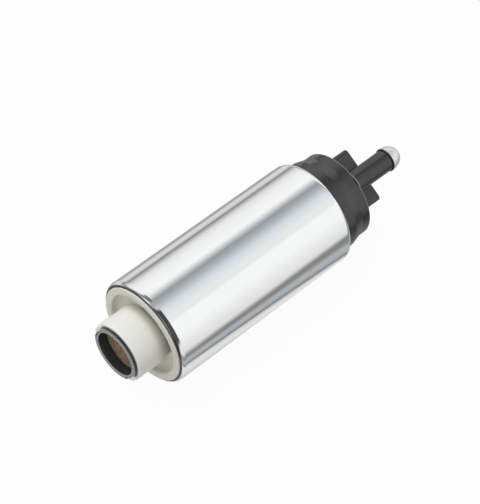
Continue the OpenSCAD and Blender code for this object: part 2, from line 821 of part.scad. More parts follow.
// Outline of the outlet cap, revolved: skirt, shoulder under the roll, foot, cone, barrel
module cap_profile() {
    foot_z = shell_z1 + foot_h;
    shoulder = stack_r - rim_r;
    polygon(concat(
        [[0, motor_z1], [stack_r, motor_z1], [stack_r, seal_z - seal_r], [groove_r, seal_z - seal_r],
            [groove_r, seal_z + seal_r], [stack_r, seal_z + seal_r],
            [stack_r, shell_z1 - roll_r - push_fit], [rim_r, shell_z1 - roll_r + shoulder],
            [rim_r, shell_z1 + 0.4], [foot_r, shell_z1 + 0.9], [foot_r, foot_z],
            [cap_r, foot_z + flare_h]],
        arc([cap_r - edge_r, cap_z - edge_r], edge_r, 0, 90, 4),
        [[0, cap_z]]));
}

// Hollow of the outlet cap
module cap_hollow() {
    wide_z = shell_z1 + foot_h - 0.4;
    rod(foot_r - cap_wall, motor_z1 - cut, wide_z);
    rod(cap_r - cap_wall, wide_z - eps, inside_z);
}

// What stands inside the cap: brush tower, bearing boss and relief valve's boss
module cap_bosses() {
    block([-tower_x, -tower_y, well_z0], [tower_x, tower_y, inside_z + eps]);
    rod(bush_r + 1.6, well_z0, bush_z + bush_len + 2.5);
    translate([relief_x, 0, 0]) rod(relief_r + relief_wall, relief_z0, inside_z + eps);
}

// Cuts for the brushes, springs and leads on one side
module brush_well(side) {
    g = well_gap;
    block([-brush_t / 2 - g, side * brush_mid - brush_w / 2 - g, well_z0 - cut],
        [brush_t / 2 + g, side * brush_mid + brush_w / 2 + g, well_z1]);
    block([0, side * brush_mid - lead_r - 0.3, well_z0 - cut],
        [tower_x + cut, side * brush_mid + lead_r + 0.3, lead_slot_z + brush_stroke + 2.2]);
}

// Seat and bore of the check valve
module check_bore() {
    rod(check_seat_d / 2, inside_z - cut, check_seat_z + eps);
    translate([0, 0, check_seat_z])
        cylinder(r1 = check_seat_d / 2, r2 = outlet_bore_r, h = check_cone);
    rod(outlet_bore_r, check_seat_z + check_cone - eps, tube_z + cut);
}

// Seat and chamber of the relief valve
module relief_bore() {
    cone = relief_r - ball_seat_d / 2;
    rod(ball_seat_d / 2, relief_z0 - cut, relief_seat_z + eps);
    translate([0, 0, relief_seat_z]) cylinder(r1 = ball_seat_d / 2, r2 = relief_r, h = cone);
    rod(relief_r, relief_seat_z + cone - eps, cap_z + cut);
}

// Connector shroud with the lug that the plug latches on
module shroud() {
    lug_w = 4;
    translate([shroud_x, -shroud_shift, cap_z - eps]) {
        difference() {
            linear_extrude(shroud_h + eps) round_rect(shroud_d, shroud_w, shroud_corner_r);
            translate([0, 0, eps]) linear_extrude(shroud_h + cut)
                round_rect(shroud_d - 2 * shroud_wall, shroud_w - 2 * shroud_wall,
                    shroud_corner_r / 2);
        }
        translate([-shroud_d / 2 + eps, lug_w / 2, shroud_h - 5]) rotate([90, 0, 0])
            linear_extrude(lug_w) polygon([[0, 0], [-1, 0], [-1, 0.6], [0, 3]]);
    }
}

module outlet_cap() {
    color([0.2, 0.2, 0.19]) lay() difference() {
        union() {
            difference() {
                rotate_extrude() cap_profile();
                cap_hollow();
            }
            cap_bosses();
            shroud();
            translate([tube_offset, 0, 0]) {
                rod(outlet_r, cap_z - eps, tube_z);
                rod(barb_d / 2, tube_z - barb_t, tube_z);
            }
        }
        for (s = [-1, 1]) {
            brush_well(s);
            terminal(s, press);
        }
        rod(bush_r + press, bush_z, bush_z + bush_len);
        rod(shaft_r + 0.3, well_z0 - cut, bush_z + bush_len + 1);
        translate([tube_offset, 0, 0]) check_bore();
        translate([relief_x, 0, 0]) relief_bore();
    }
}

// Domed tip: a collar, a dome that ends flat round the hole, and a shank in the tube
module outlet_tip() {
    r = tip_d / 2;
    collar = 0.4;
    nose_r = tip_bore_d / 2 + 0.7;
    dome_h = tip_h - collar;
    dome_a = acos(nose_r / r);
    color("gainsboro") lay() translate([tube_offset, 0, 0]) rotate_extrude() polygon(concat(
        [[tip_bore_d / 2, shank_z], [shank_r, shank_z], [shank_r, tube_z], [r, tube_z]],
        [for (i = [0 : 8]) let (a = dome_a * i / 8)
            [r * cos(a), tube_z + collar + dome_h * sin(a) / sin(dome_a)]],
        [[tip_bore_d / 2, tip_z]]));
}

module check_poppet() {
    color("seagreen") lay() translate([tube_offset, 0, 0]) rotate_extrude() polygon([
        [0, head_z], [head_tip_r, head_z], [head_r, head_z + head_r - head_tip_r],
        [head_r, head_back_z], [stem_r, head_back_z], [stem_r, head_back_z + stem_len],
        [0, head_back_z + stem_len]]);
}

module check_spring() {
    color("silver") lay() translate([tube_offset, 0, 0])
        sweep(check_coil, check_wire_r, wire_sides, [0, 0, 1]);
}

module relief_ball() {
    color("silver") lay() translate([relief_x, 0, ball_z]) sphere(r = ball_r);
}

module relief_spring() {
    color("silver") lay() translate([relief_x, 0, 0])
        sweep(relief_coil, relief_wire_r, wire_sides, [0, 0, 1]);
}

module relief_plug() {
    color("goldenrod") lay() translate([relief_x, 0, 0])
        ring(0.8, relief_r - press, plug_z, cap_z - 0.3);
}

shell();
inlet_cap();
strainer_ring();
inlet_screen();
cam_ring();
inner_rotor();
outer_rotor();
port_plate();
locating_pins();
thrust_pad();
lower_bearing();
upper_bearing();
armature_shaft();
thrust_washer();
armature_core();
slot_insulator();
windings();
commutator_hub();
commutator_segments();
magnet_left();
magnet_right();
magnet_clips();
flux_ring();
brush_left();
brush_right();
brush_spring_left();
brush_spring_right();
brush_lead_left();
brush_lead_right();
terminal_left();
terminal_right();
cap_seal();
outlet_cap();
outlet_tip();
check_poppet();
check_spring();
relief_ball();
relief_spring();
relief_plug();
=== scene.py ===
"""In-tank fuel pump lying on its shell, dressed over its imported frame.

+X runs from the inlet mouth to the outlet and +Z is the side of the outlet tube. Profiles
are written as in the part's source, as (radius, station) pairs, and angles about the
pump's axis start at +Z and turn towards -Y. Every length is in metres.
"""

from __future__ import annotations

import json
import logging
import math
from collections.abc import Iterable, Sequence
from dataclasses import dataclass, field
from enum import Enum

import bmesh
import bpy
from mathutils import Matrix, Vector

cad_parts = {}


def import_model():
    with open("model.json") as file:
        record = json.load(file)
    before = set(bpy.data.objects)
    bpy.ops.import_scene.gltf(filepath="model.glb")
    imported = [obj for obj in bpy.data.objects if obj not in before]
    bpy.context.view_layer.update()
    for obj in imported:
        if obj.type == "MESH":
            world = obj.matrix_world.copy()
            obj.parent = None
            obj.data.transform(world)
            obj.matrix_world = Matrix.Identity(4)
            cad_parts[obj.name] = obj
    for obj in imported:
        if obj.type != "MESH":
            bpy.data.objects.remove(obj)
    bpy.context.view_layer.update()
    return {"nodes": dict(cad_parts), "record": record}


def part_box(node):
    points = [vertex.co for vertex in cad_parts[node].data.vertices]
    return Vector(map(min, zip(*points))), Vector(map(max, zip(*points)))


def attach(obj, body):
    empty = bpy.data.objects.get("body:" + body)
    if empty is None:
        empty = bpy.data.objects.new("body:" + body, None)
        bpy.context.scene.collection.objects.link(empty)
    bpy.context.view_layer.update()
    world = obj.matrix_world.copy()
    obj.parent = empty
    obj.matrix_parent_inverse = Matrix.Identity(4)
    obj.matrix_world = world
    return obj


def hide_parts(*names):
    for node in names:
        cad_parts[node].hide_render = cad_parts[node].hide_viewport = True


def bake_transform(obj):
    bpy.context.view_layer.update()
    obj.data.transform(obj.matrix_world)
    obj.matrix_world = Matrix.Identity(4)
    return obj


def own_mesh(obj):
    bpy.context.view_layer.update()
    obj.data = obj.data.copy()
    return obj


LOG = logging.getLogger("fuel_pump")
MM = 0.001
# Angles in degrees between two faces, above which their edge stays sharp or is bevelled.
SHARP_ANGLE = 32.0
BEVEL_ANGLE = 40.0

Pair = tuple[float, float]
Triple = tuple[float, float, float]
Colour = tuple[float, float, float]
Socket = bpy.types.NodeSocket


class Body(Enum):
    """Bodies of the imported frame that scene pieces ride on."""

    HOUSING = "housing"
    BRUSH_LEFT = "brush_left"
    BRUSH_RIGHT = "brush_right"


class Join(Enum):
    """How one solid works on another."""

    ADD = "UNION"
    CUT = "DIFFERENCE"


class Grain(Enum):
    """Relief that a finish shows close up."""

    MOULDED = "fine moulded texture"
    TURNED = "rings left by a lathe tool"
    DRAWN = "lines along the pump's axis"
    SINTERED = "pressed and sintered powder"
    SHEETS = "edges of stacked sheets"
    WOUND = "turns of enamelled wire"


class Measure(Enum):
    """What a change along a surface goes by."""

    STATION = "station along the pump"
    RADIUS = "distance from the pump's axis"
    HEIGHT = "height above the pump's axis"


class Side(Enum):
    """Sides of the pump, seen from the inlet with the outlet tube up."""

    LEFT = 1
    RIGHT = -1

    @property
    def word(self) -> str:
        """Side's name as the frame's nodes spell it."""
        return self.name.lower()


def arc(centre: Pair, radius: float, start: float, end: float, steps: int = 8) -> list[Pair]:
    """Points along an arc in the plane of a profile.

    Args:
        centre: Middle of the arc, as (radius, station).
        radius: Radius of the arc.
        start: First angle in degrees, from the radial direction towards +X.
        end: Last angle in degrees.
        steps: Number of chords.

    Returns:
        The points, ends included.
    """
    angles = [math.radians(start + (end - start) * i / steps) for i in range(steps + 1)]
    return [(centre[0] + radius * math.cos(a), centre[1] + radius * math.sin(a)) for a in angles]


def around(radius: float, station: float, angle: float) -> Vector:
    """Point at a radius, a station and an angle in degrees about the pump's axis."""
    turn = math.radians(angle)
    return Vector((station, -radius * math.sin(turn), radius * math.cos(turn)))


def quarter(steps: int) -> list[float]:
    """Angles of a quarter turn in radians, ends included."""
    return [math.pi / 2 * i / steps for i in range(steps + 1)]


def band(inner: float, outer: float, start: float, end: float) -> list[Pair]:
    """Section of a ring between two radii and two stations."""
    return [(inner, start), (outer, start), (outer, end), (inner, end)]


def stepped(*rods: Triple) -> list[Pair]:
    """Section of round rods in a row, with a cone wherever two of them don't meet.

    Args:
        *rods: Radius, first station and last station of each.

    Returns:
        Section that starts and ends on the axis.
    """
    wall = [(radius, x) for radius, start, end in rods for x in (start, end)]
    return [(0.0, rods[0][1]), *wall, (0.0, rods[-1][2])]


def round_rect(depth: float, width: float, corner: float) -> list[Pair]:
    """Outline of a rectangle with round corners.

    Args:
        depth: Size along +Z.
        width: Size along Y.
        corner: Corner radius.

    Returns:
        Points as (along +Z, along -Y), centred on (0, 0).
    """
    points: list[Pair] = []
    for number, (a, b) in enumerate(((1, 1), (-1, 1), (-1, -1), (1, -1))):
        centre = (a * (depth / 2 - corner), b * (width / 2 - corner))
        points += arc(centre, corner, 90 * number, 90 * number + 90)
    return points


def headings(path: Sequence[Vector]) -> list[Vector]:
    """Direction of a path at each of its points."""
    ends = [path[0], *path, path[-1]]
    return [(ahead - behind).normalized() for behind, ahead in zip(ends, ends[2:])]


def box_middle(name: str) -> Triple:
    """Middle of a node's box."""
    low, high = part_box(name)
    return (low.x + high.x) / 2, (low.y + high.y) / 2, (low.z + high.z) / 2


def add_object(name: str, data: bpy.types.ID) -> bpy.types.Object:
    """Adds an object that shows the given data to the scene.

    Args:
        name: Name of the object.
        data: Mesh, light or camera that it shows.

    Returns:
        The object.
    """
    made = bpy.data.objects.new(name, data)
    bpy.context.scene.collection.objects.link(made)
    return made


class Draft:
    """Mesh being drawn, in the row frame."""

    def __init__(self) -> None:
        """Starts with nothing drawn."""
        self.mesh = bmesh.new()

    def skin(
        self, loops: Sequence[Sequence[Vector]], ring: bool = True, closed: bool = True
    ) -> Draft:
        """Joins loops of equal length with faces, and caps what is left open.

        Args:
            loops: Lists of points, each as long as the others.
            ring: Whether each loop's last point joins its first.
            closed: Whether the last loop joins the first.

        Returns:
            The draft itself.
        """
        rows = [[self.mesh.verts.new(p) for p in loop] for loop in loops]
        count = len(rows[0])
        for i in range(len(rows) if closed else len(rows) - 1):
            here, there = rows[i], rows[(i + 1) % len(rows)]
            for k in range(count if ring else count - 1):
                m = (k + 1) % count
                self.mesh.faces.new((here[k], here[m], there[m], there[k]))
        if ring and not closed:
            self.mesh.faces.new(rows[0])
            self.mesh.faces.new(rows[-1])
        if closed and not ring:
            self.mesh.faces.new([row[0] for row in rows])
            self.mesh.faces.new([row[-1] for row in rows])
        return self

    def revolve(
        self,
        profile: Sequence[Pair],
        axis: Pair = (0.0, 0.0),
        steps: int = 192,
        span: float = 360.0,
        at: float = 0.0,
    ) -> Draft:
        """Turns a closed profile about an axis along X.

        Args:
            profile: (radius, station) points, in order round the section.
            axis: Y and Z of the axis.
            steps: Chords in a full turn.
            span: Angle turned through, in degrees.
            at: Middle of the turned part, in degrees.

        Returns:
            The draft itself.
        """
        whole = span >= 360.0
        count = max(2, round(steps * span / 360.0))
        angles = [at - span / 2 + span * i / count for i in range(count if whole else count + 1)]
        middle = Vector((0.0, *axis))
        loops = [[middle + around(r, x, angle) for angle in angles] for r, x in profile]
        return self.skin(loops, ring=whole)

    def block(self, low: Vector, high: Vector) -> Draft:
        """Adds a block between two corners.

        Args:
            low: Corner with the least coordinates.
            high: Corner with the greatest coordinates.

        Returns:
            The draft itself.
        """
        corners = ((high.y, low.z), (high.y, high.z), (low.y, high.z), (low.y, low.z))
        loops = [[Vector((x, y, z)) for y, z in corners] for x in (low.x, high.x)]
        return self.skin(loops, closed=False)

    def tube(self, path: Sequence[Vector], radius: float, sides: int = 8) -> Draft:
        """Sweeps a round section along a path.

        Args:
            path: Points of the path.
            radius: Radius of the section.
            sides: Sides of the section.

        Returns:
            The draft itself.
        """
        ways = headings(path)
        before = ways[0]
        across = before.orthogonal().normalized()
        turns = [2 * math.pi * k / sides for k in range(sides)]
        loops = []
        for point, way in zip(path, ways):
            across = before.rotation_difference(way) @ across
            up = way.cross(across)
            loops.append(
                [point + radius * (math.cos(t) * across + math.sin(t) * up) for t in turns]
            )
            before = way
        return self.skin(loops, closed=False)

    def bevel(self, width: float, steps: int) -> Draft:
        """Rounds the sharp edges drawn so far.

        Args:
            width: Width of the rounding.
            steps: Chords across it.

        Returns:
            The draft itself.
        """
        self.weld()
        limit = math.radians(BEVEL_ANGLE)
        shared = [edge for edge in self.mesh.edges if len(edge.link_faces) == 2]
        bmesh.ops.bevel(
            self.mesh,
            geom=[edge for edge in shared if edge.calc_face_angle(0) > limit],
            offset=width,
            offset_type="OFFSET",
            segments=steps,
            profile=0.5,
            affect="EDGES",
        )
        return self

    def weld(self) -> None:
        """Joins points that fall on each other, and turns every face outwards."""
        bmesh.ops.remove_doubles(self.mesh, verts=self.mesh.verts, dist=1e-7)
        bmesh.ops.dissolve_degenerate(self.mesh, edges=self.mesh.edges, dist=1e-8)
        bmesh.ops.recalc_face_normals(self.mesh, faces=self.mesh.faces)

    def piece(self, name: str) -> bpy.types.Object:
        """Turns the draft into an object of the scene.

        Args:
            name: Name of the object.

        Returns:
            The object.
        """
        self.weld()
        data = bpy.data.meshes.new(name)
        self.mesh.to_mesh(data)
        self.mesh.free()
        return add_object(name, data)


def apply_modifiers(piece: bpy.types.Object) -> None:
    """Replaces a piece's mesh with what its modifiers make of it.

    Args:
        piece: Object that is changed.
    """
    evaluated = piece.evaluated_get(bpy.context.evaluated_depsgraph_get())
    data = bpy.data.meshes.new_from_object(evaluated)
    piece.modifiers.clear()
    piece.data = data


def combine(piece: bpy.types.Object, tool: bpy.types.Object, how: Join) -> None:
    """Adds one solid to another, or cuts it away, and removes the tool.

    Args:
        piece: Object that is changed.
        tool: Object that works on it.
        how: Whether the tool is added or cut away.
    """
    modifier = piece.modifiers.new(how.name, "BOOLEAN")
    modifier.operation = how.value
    modifier.solver = "EXACT"
    modifier.use_self = True
    modifier.object = tool
    apply_modifiers(piece)
    bpy.data.objects.remove(tool)


def smooth(piece: bpy.types.Object) -> None:
    """Shades a piece smooth, keeps its sharp edges and lets large faces lead.

    Args:
        piece: Object that is changed.
    """
    piece.data.shade_smooth()
    piece.data.set_sharp_from_angle(angle=math.radians(SHARP_ANGLE))
    modifier = piece.modifiers.new("weighted", "WEIGHTED_NORMAL")
    modifier.keep_sharp = True
    apply_modifiers(piece)


# Sockets of Blender's colour mix, several of which share a name: share, first and second colour.
COLOUR_MIX_INPUTS = (0, 6, 7)
COLOUR_MIX_RESULT = 2


class Graph:
    """Node tree of a material or a world."""

    def __init__(self, owner: bpy.types.Material | bpy.types.World) -> None:
        """Starts with an empty tree.

        Args:
            owner: Material or world that the tree belongs to.
        """
        owner.use_nodes = True
        self.tree = owner.node_tree
        self.tree.nodes.clear()

    def node(
        self, kind: str, inputs: dict[str, object] | None = None, **settings: object
    ) -> bpy.types.Node:
        """Adds a node.

        Args:
            kind: Blender's name for the node.
            inputs: Values of its input sockets.
            **settings: Values of its own settings.

        Returns:
            The node.
        """
        made = self.tree.nodes.new(kind)
        for key, value in settings.items():
            setattr(made, key, value)
        for key, value in (inputs or {}).items():
            made.inputs[key].default_value = value
        return made

    def link(self, source: Socket, target: Socket) -> None:
        """Links an output socket to an input socket."""
        self.tree.links.new(source, target)

    def work(self, operation: str, *values: Socket | float) -> Socket:
        """Result of one operation on numbers.

        Args:
            operation: Blender's name for the operation.
            *values: Sockets or plain numbers that it works on.

        Returns:
            The socket that gives it.
        """
        made = self.node("ShaderNodeMath", operation=operation)
        for number, value in enumerate(values):
            if isinstance(value, Socket):
                self.link(value, made.inputs[number])
            else:
                made.inputs[number].default_value = value
        return made.outputs["Value"]

    def remap(
        self, value: Socket, source: Pair, target: Pair = (0.0, 1.0), kind: str = "LINEAR"
    ) -> Socket:
        """Maps one range of a value to another, and holds it at the ends.

        Args:
            value: Value that is mapped.
            source: Ends of its range.
            target: What the ends become.
            kind: Blender's name for the curve between the ends.

        Returns:
            The socket that gives it.
        """
        made = self.node("ShaderNodeMapRange", interpolation_type=kind)
        for name, value_there in zip(("From Min", "From Max", "To Min", "To Max"), source + target):
            made.inputs[name].default_value = value_there
        self.link(value, made.inputs["Value"])
        return made.outputs["Result"]

    def fade(self, value: Socket, start: float, end: float) -> Socket:
        """Smooth step of a value, from 0 at start to 1 at end."""
        return self.remap(value, (start, end), kind="SMOOTHSTEP")

    def window(self, value: Socket, rise: Pair, fall: Pair) -> Socket:
        """Product of two smooth steps of one value."""
        return self.work("MULTIPLY", self.fade(value, *rise), self.fade(value, *fall))

    def spread(self, value: Socket, low: float, high: float) -> Socket:
        """Maps the middle range that a noise mostly keeps to, to low and high."""
        return self.remap(value, (0.3, 0.7), (low, high))

    def blend(self, share: Socket, first: Socket, second: Socket) -> Socket:
        """Mixes two shaders.

        Args:
            share: Share of the second shader.
            first: First shader.
            second: Second shader.

        Returns:
            The socket that gives the mix.
        """
        made = self.node("ShaderNodeMixShader")
        for number, socket in enumerate((share, first, second)):
            self.link(socket, made.inputs[number])
        return made.outputs["Shader"]

    def mix(self, share: Socket, first: Socket | Colour, second: Colour) -> Socket:
        """Mixes two colours.

        Args:
            share: Share of the second colour.
            first: First colour, or the socket that gives it.
            second: Second colour.

        Returns:
            The socket that gives the mix.
        """
        made = self.node("ShaderNodeMix", data_type="RGBA")
        factor, below, above = (made.inputs[number] for number in COLOUR_MIX_INPUTS)
        self.link(share, factor)
        if isinstance(first, Socket):
            self.link(first, below)
        else:
            below.default_value = (*first, 1.0)
        above.default_value = (*second, 1.0)
        return made.outputs[COLOUR_MIX_RESULT]

    def split(self, vector: Socket) -> tuple[Socket, Socket, Socket]:
        """X, Y and Z of a vector.

        Args:
            vector: Socket that gives the vector.

        Returns:
            A socket for each.
        """
        made = self.node("ShaderNodeSeparateXYZ")
        self.link(vector, made.inputs["Vector"])
        return tuple(made.outputs)

    def place(self, scale: Sequence[float] = (1.0, 1.0, 1.0)) -> Socket:
        """Place on the piece in metres.

        Args:
            scale: Factor that it is stretched by along each axis.

        Returns:
            The socket that gives it.
        """
        coordinates = self.node("ShaderNodeTexCoord")
        mapping = self.node("ShaderNodeMapping", {"Scale": tuple(scale)})
        self.link(coordinates.outputs["Object"], mapping.inputs["Vector"])
        return mapping.outputs["Vector"]

    def texture(
        self,
        kind: str,
        inputs: dict[str, object],
        scale: Sequence[float] = (1.0, 1.0, 1.0),
        **settings: object,
    ) -> bpy.types.bpy_prop_collection:
        """Texture laid over a piece.

        Args:
            kind: Blender's name for the node.
            inputs: Values of its input sockets.
            scale: Stretch along each axis.
            **settings: Values of its own settings.

        Returns:
            Its output sockets.
        """
        made = self.node(kind, inputs, **settings)
        self.link(self.place(scale), made.inputs["Vector"])
        return made.outputs

    def noise(
        self, size: float, detail: float = 3.0, scale: Sequence[float] = (1.0, 1.0, 1.0)
    ) -> Socket:
        """Soft noise between 0 and 1.

        Args:
            size: Size of its larger spots.
            detail: How much finer structure it holds.
            scale: Stretch along each axis.

        Returns:
            The socket that gives it.
        """
        inputs = {"Scale": 1.0 / size, "Detail": detail, "Roughness": 0.55}
        return self.texture("ShaderNodeTexNoise", inputs, scale)["Fac"]

    def straight(self) -> Socket:
        """1 for what the camera sees, itself or through glass, and 0 for other light."""
        rays = self.node("ShaderNodeLightPath").outputs
        return self.work("MAXIMUM", rays["Is Camera Ray"], rays["Is Transmission Ray"])


@dataclass(frozen=True)
class Accent:
    """Stretch of a surface that has another colour than the rest.

    Attributes:
        colour: Colour of the stretch.
        limits: What it goes by, each with the values at which it begins and is full.
    """

    colour: Colour
    limits: tuple[tuple[Measure, float, float], ...]

    def share(self, graph: Graph) -> Socket:
        """Share of the accent between 0 and 1.

        Args:
            graph: Material that it is drawn in.

        Returns:
            The socket that gives it.
        """
        x, y, z = graph.split(graph.place())
        squares = [graph.work("MULTIPLY", side, side) for side in (y, z)]
        values = {
            Measure.STATION: x,
            Measure.RADIUS: graph.work("SQRT", graph.work("ADD", *squares)),
            Measure.HEIGHT: z,
        }
        shares = [graph.fade(values[measure], start, end) for measure, start, end in self.limits]
        share = shares[0]
        for further in shares[1:]:
            share = graph.work("MULTIPLY", share, further)
        return share


# Direction, distortion and detail of the bands that draw a grain, and the length of one band
# of Blender's wave texture at a scale of 1.
BANDS = {
    Grain.TURNED: ("X", 0.6, 1.0),
    Grain.SHEETS: ("X", 0.6, 1.0),
    Grain.WOUND: ("DIAGONAL", 2.5, 2.0),
}
BAND_LENGTH = 0.314


@dataclass(frozen=True)
class Finish:
    """Finish of one material slot.

    Attributes:
        slot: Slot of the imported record.
        colour: Main colour.
        tint: Colour that it drifts to in places.
        roughness: Least and most roughness.
        grain: Relief seen close up.
        grain_size: Spacing of that relief.
        relief: Depth of that relief.
        mottle: Size of the drift in colour.
        metallic: 1 for bare metal, 0 for the rest.
        specular: Strength of the gloss of what isn't metal.
        glow_depth: How far light goes into the surface, 0 for none.
        wave: Length and depth of slow waves in the surface, 0 for none.
        accents: Stretches with another colour, each over those before it.
    """

    slot: str
    colour: Colour
    tint: Colour
    roughness: Pair
    grain: Grain
    grain_size: float
    relief: float
    mottle: float = 6 * MM
    metallic: float = 0.0
    specular: float = 0.5
    glow_depth: float = 0.0
    wave: Pair = (0.0, 0.0)
    accents: tuple[Accent, ...] = ()

    def height(self, graph: Graph) -> Socket:
        """Relief of the surface between 0 and 1.

        Args:
            graph: Material that it is drawn in.

        Returns:
            The socket that gives it.
        """
        if self.grain in BANDS:
            direction, distortion, detail = BANDS[self.grain]
            scale = BAND_LENGTH / self.grain_size
            return graph.texture(
                "ShaderNodeTexWave",
                {"Scale": scale, "Distortion": distortion, "Detail": detail},
                wave_type="BANDS",
                bands_direction=direction,
            )["Fac"]
        if self.grain is Grain.SINTERED:
            inputs = {"Scale": 1.0 / self.grain_size}
            return graph.texture("ShaderNodeTexVoronoi", inputs)["Distance"]
        if self.grain is Grain.DRAWN:
            return graph.noise(self.grain_size, 4.0, (0.02, 1.0, 1.0))
        return graph.noise(self.grain_size, 5.0)

    def paint(self, graph: Graph) -> Socket:
        """Colour of the surface, with its drift and its accents.

        Args:
            graph: Material that it is drawn in.

        Returns:
            The socket that gives it.
        """
        drift = graph.spread(graph.noise(self.mottle), 0.0, 1.0)
        colour = graph.mix(drift, self.colour, self.tint)
        for accent in self.accents:
            colour = graph.mix(accent.share(graph), colour, accent.colour)
        return colour

    def normal(self, graph: Graph) -> Socket:
        """Direction of the surface, with its relief and its slow waves.

        Args:
            graph: Material that it is drawn in.

        Returns:
            The socket that gives it.
        """
        bump = graph.node("ShaderNodeBump", {"Strength": 1.0, "Distance": self.relief})
        graph.link(self.height(graph), bump.inputs["Height"])
        length, depth = self.wave
        if length:
            slow = graph.node("ShaderNodeBump", {"Strength": 1.0, "Distance": depth})
            graph.link(graph.noise(length, 1.0), slow.inputs["Height"])
            graph.link(slow.outputs["Normal"], bump.inputs["Normal"])
        return bump.outputs["Normal"]

    def build(self) -> bpy.types.Material:
        """Builds the material.

        Returns:
            The material.
        """
        material = bpy.data.materials.new(self.slot)
        graph = Graph(material)
        plain_inputs = {"Metallic": self.metallic, "Specular IOR Level": self.specular}
        if self.glow_depth:
            plain_inputs |= {
                "Subsurface Weight": 0.2,
                "Subsurface Scale": self.glow_depth,
                "Subsurface Radius": (1.0, 0.95, 0.8),
            }
        shader = graph.node("ShaderNodeBsdfPrincipled", plain_inputs)
        output = graph.node("ShaderNodeOutputMaterial")
        graph.link(shader.outputs["BSDF"], output.inputs["Surface"])
        roughness = graph.spread(graph.noise(self.mottle * 0.6), *self.roughness)
        graph.link(self.paint(graph), shader.inputs["Base Color"])
        graph.link(roughness, shader.inputs["Roughness"])
        graph.link(self.normal(graph), shader.inputs["Normal"])
        return material


# Painted shade: a dark ring round the inner edge of the shell's rolled lip at the inlet end,
# standing in for the shadow gap against the white cap's rim.
SHELL_LIP_SHADE = Accent((0.12, 0.12, 0.125), ((Measure.STATION, 12.8 * MM, 12.6 * MM),))
# Painted shade: the white cap turns darker and warmer from the rim's face inwards, over the dish
# and the tube's root.
DISH_SHADE = Accent((0.69, 0.665, 0.59), ((Measure.STATION, 10.2 * MM, 12.0 * MM),))
# Painted shade: the tube's root inside the dish is darker on its upper side only.
TUBE_ROOT_SHADE = Accent(
    (0.45, 0.44, 0.385),
    (
        (Measure.STATION, 9.2 * MM, 13.8 * MM),
        (Measure.RADIUS, 11.5 * MM, 11.15 * MM),
        (Measure.HEIGHT, 1 * MM, 8 * MM),
    ),
)
# Painted highlight: the front face of the dark ring is lighter than its sides and bore, standing in
# for light falling on that face.
RING_FACE_LIGHT = Accent((0.29, 0.29, 0.295), ((Measure.STATION, 0.3 * MM, 0.1 * MM),))
# Painted highlight: a lighter line round the rounded edge of the outlet cap's end face.
CAP_EDGE_HIGHLIGHT = Accent(
    (0.22, 0.215, 0.205),
    (
        (Measure.STATION, 102.25 * MM, 102.4 * MM),
        (Measure.STATION, 102.9 * MM, 102.75 * MM),
        (Measure.RADIUS, 15.75 * MM, 15.9 * MM),
    ),
)

